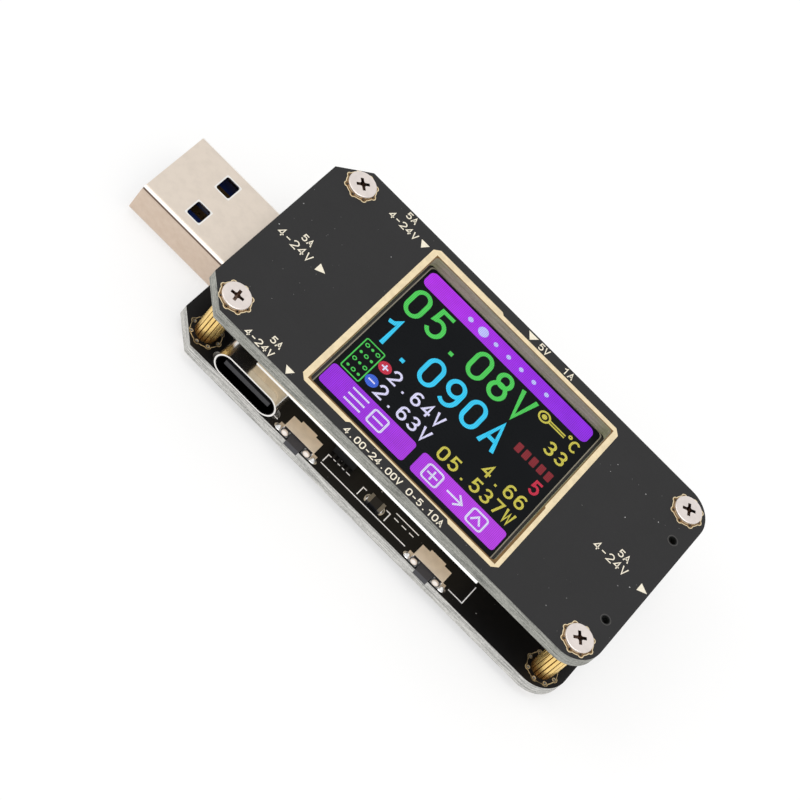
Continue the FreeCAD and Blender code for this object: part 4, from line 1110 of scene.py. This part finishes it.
def board_ink():
    """White outlines printed round the parts on the main board."""

    def fill(shape):
        lines = [
            [(-6.6, -13.95), (6.3, -13.95)],
            [(-13.9, -13.95), (-13.3, -13.95)],
            [(13.04, -13.95), (15.1, -13.95), (15.1, -11.0)],
            [(-6.6, -13.6), (-6.6, -12.4), (-3.4, -12.4)],
            [(2.75, -13.5), (2.75, -12.2), (2.2, -12.2)],
            [(-0.9, -12.2), (-1.4, -12.2), (-1.4, -13.5)],
            [(3.2, -11.5), (6.6, -11.5)],
        ]
        dashes = [[(start, -12.2), (start + 0.6, -12.2)] for start in (3.4, 4.55, 5.7)]
        for line in lines + dashes:
            add_stroke(shape, line, 0.13, 0, INK)

    new_piece("board_ink", fill, "silk", BOARD_ORIGIN)


# ---- stage

def stage():
    """A plain pale floor, and a soft world round it."""
    reach = 3.0
    corners = [(-reach, -reach, 0), (reach, -reach, 0), (reach, reach, 0), (-reach, reach, 0)]
    mesh = bpy.data.meshes.new("floor")
    mesh.from_pydata(corners, [], [(0, 1, 2, 3)])
    shader = Shader("floor_pale")
    cloud = shader.noise(0.02, 2)
    mesh.materials.append(shader.finish(
        Base_Color=shader.mix(cloud, grey(0.36), grey(0.37)), Roughness=0.9,
        Emission_Color=grey(1.0), Emission_Strength=0.63, Specular_IOR_Level=0.1))
    add_object("floor", mesh)

    world = bpy.data.worlds.new("studio")
    bpy.context.scene.world = world
    world.use_nodes = True
    backdrop = world.node_tree.nodes["Background"]
    backdrop.inputs["Color"].default_value = (1.0, 0.995, 0.985, 1.0)
    backdrop.inputs["Strength"].default_value = 0.80


def add_light(name, place, size, power, tint=(1.0, 1.0, 1.0)):
    """A square soft light that faces the meter."""
    data = bpy.data.lights.new(name, "AREA")
    data.shape = "SQUARE"
    data.size = size
    data.energy = power
    data.color = tint
    item = add_object(name, data)
    item.location = place
    aim = Vector((PANEL_X, 0, 0)) - Vector(place)
    item.rotation_euler = aim.to_track_quat("-Z", "Y").to_euler()


def lights():
    """One broad light overhead, one from the left, and a weak one in front."""
    add_light("overhead", (0.05, -0.05, 0.70), 0.45, 1.1)
    add_light("left", (-0.45, -0.10, 0.35), 0.30, 0.35, (1.0, 0.98, 0.94))
    add_light("front", (0.15, -0.50, 0.22), 0.30, 0.2)


def camera():
    """A long lens, high over the near long edge and rolled so that the meter runs up the frame."""
    data = bpy.data.cameras.new("camera")
    data.lens = 132.35
    data.clip_start = 0.01
    data.clip_end = 10
    azimuth, elevation, roll = (math.radians(angle) for angle in (0.731, 48.858, 44.424))
    distance = 0.31994
    aim = Vector((1.1 * MM, -6.203 * MM, PANEL_TOP))
    back = Vector((math.cos(elevation) * math.sin(azimuth),
                   -math.cos(elevation) * math.cos(azimuth), math.sin(elevation)))
    level = Vector((0, 0, 1)).cross(back).normalized()
    above = back.cross(level)
    across = level * math.cos(roll) + above * math.sin(roll)
    upward = above * math.cos(roll) - level * math.sin(roll)
    turn = Matrix((across, upward, back)).transposed().to_4x4()
    item = add_object("camera", data)
    item.matrix_world = Matrix.Translation(aim + back * distance) @ turn
    bpy.context.scene.camera = item
    bpy.context.scene.view_settings.view_transform = "Standard"


finish_cad_nodes()
gold_frame()
glass_surround()
for board_face in (("panel_top", PANEL_TOP, 1), ("panel_back", PANEL_LOW.z, -1),
                   ("board_top", BOARD_TOP, 1), ("board_back", BOARD_LOW.z, -1)):
    via_pads(*board_face)
marker_rings()
legends()
display_bars()
display_readings()
line_mark("line_plus", -3.24, "lit_red", True)
line_mark("line_minus", -5.96, "lit_blue", False)
chip_ends()
solder_joints()
board_ink()
stage()
lights()
camera()
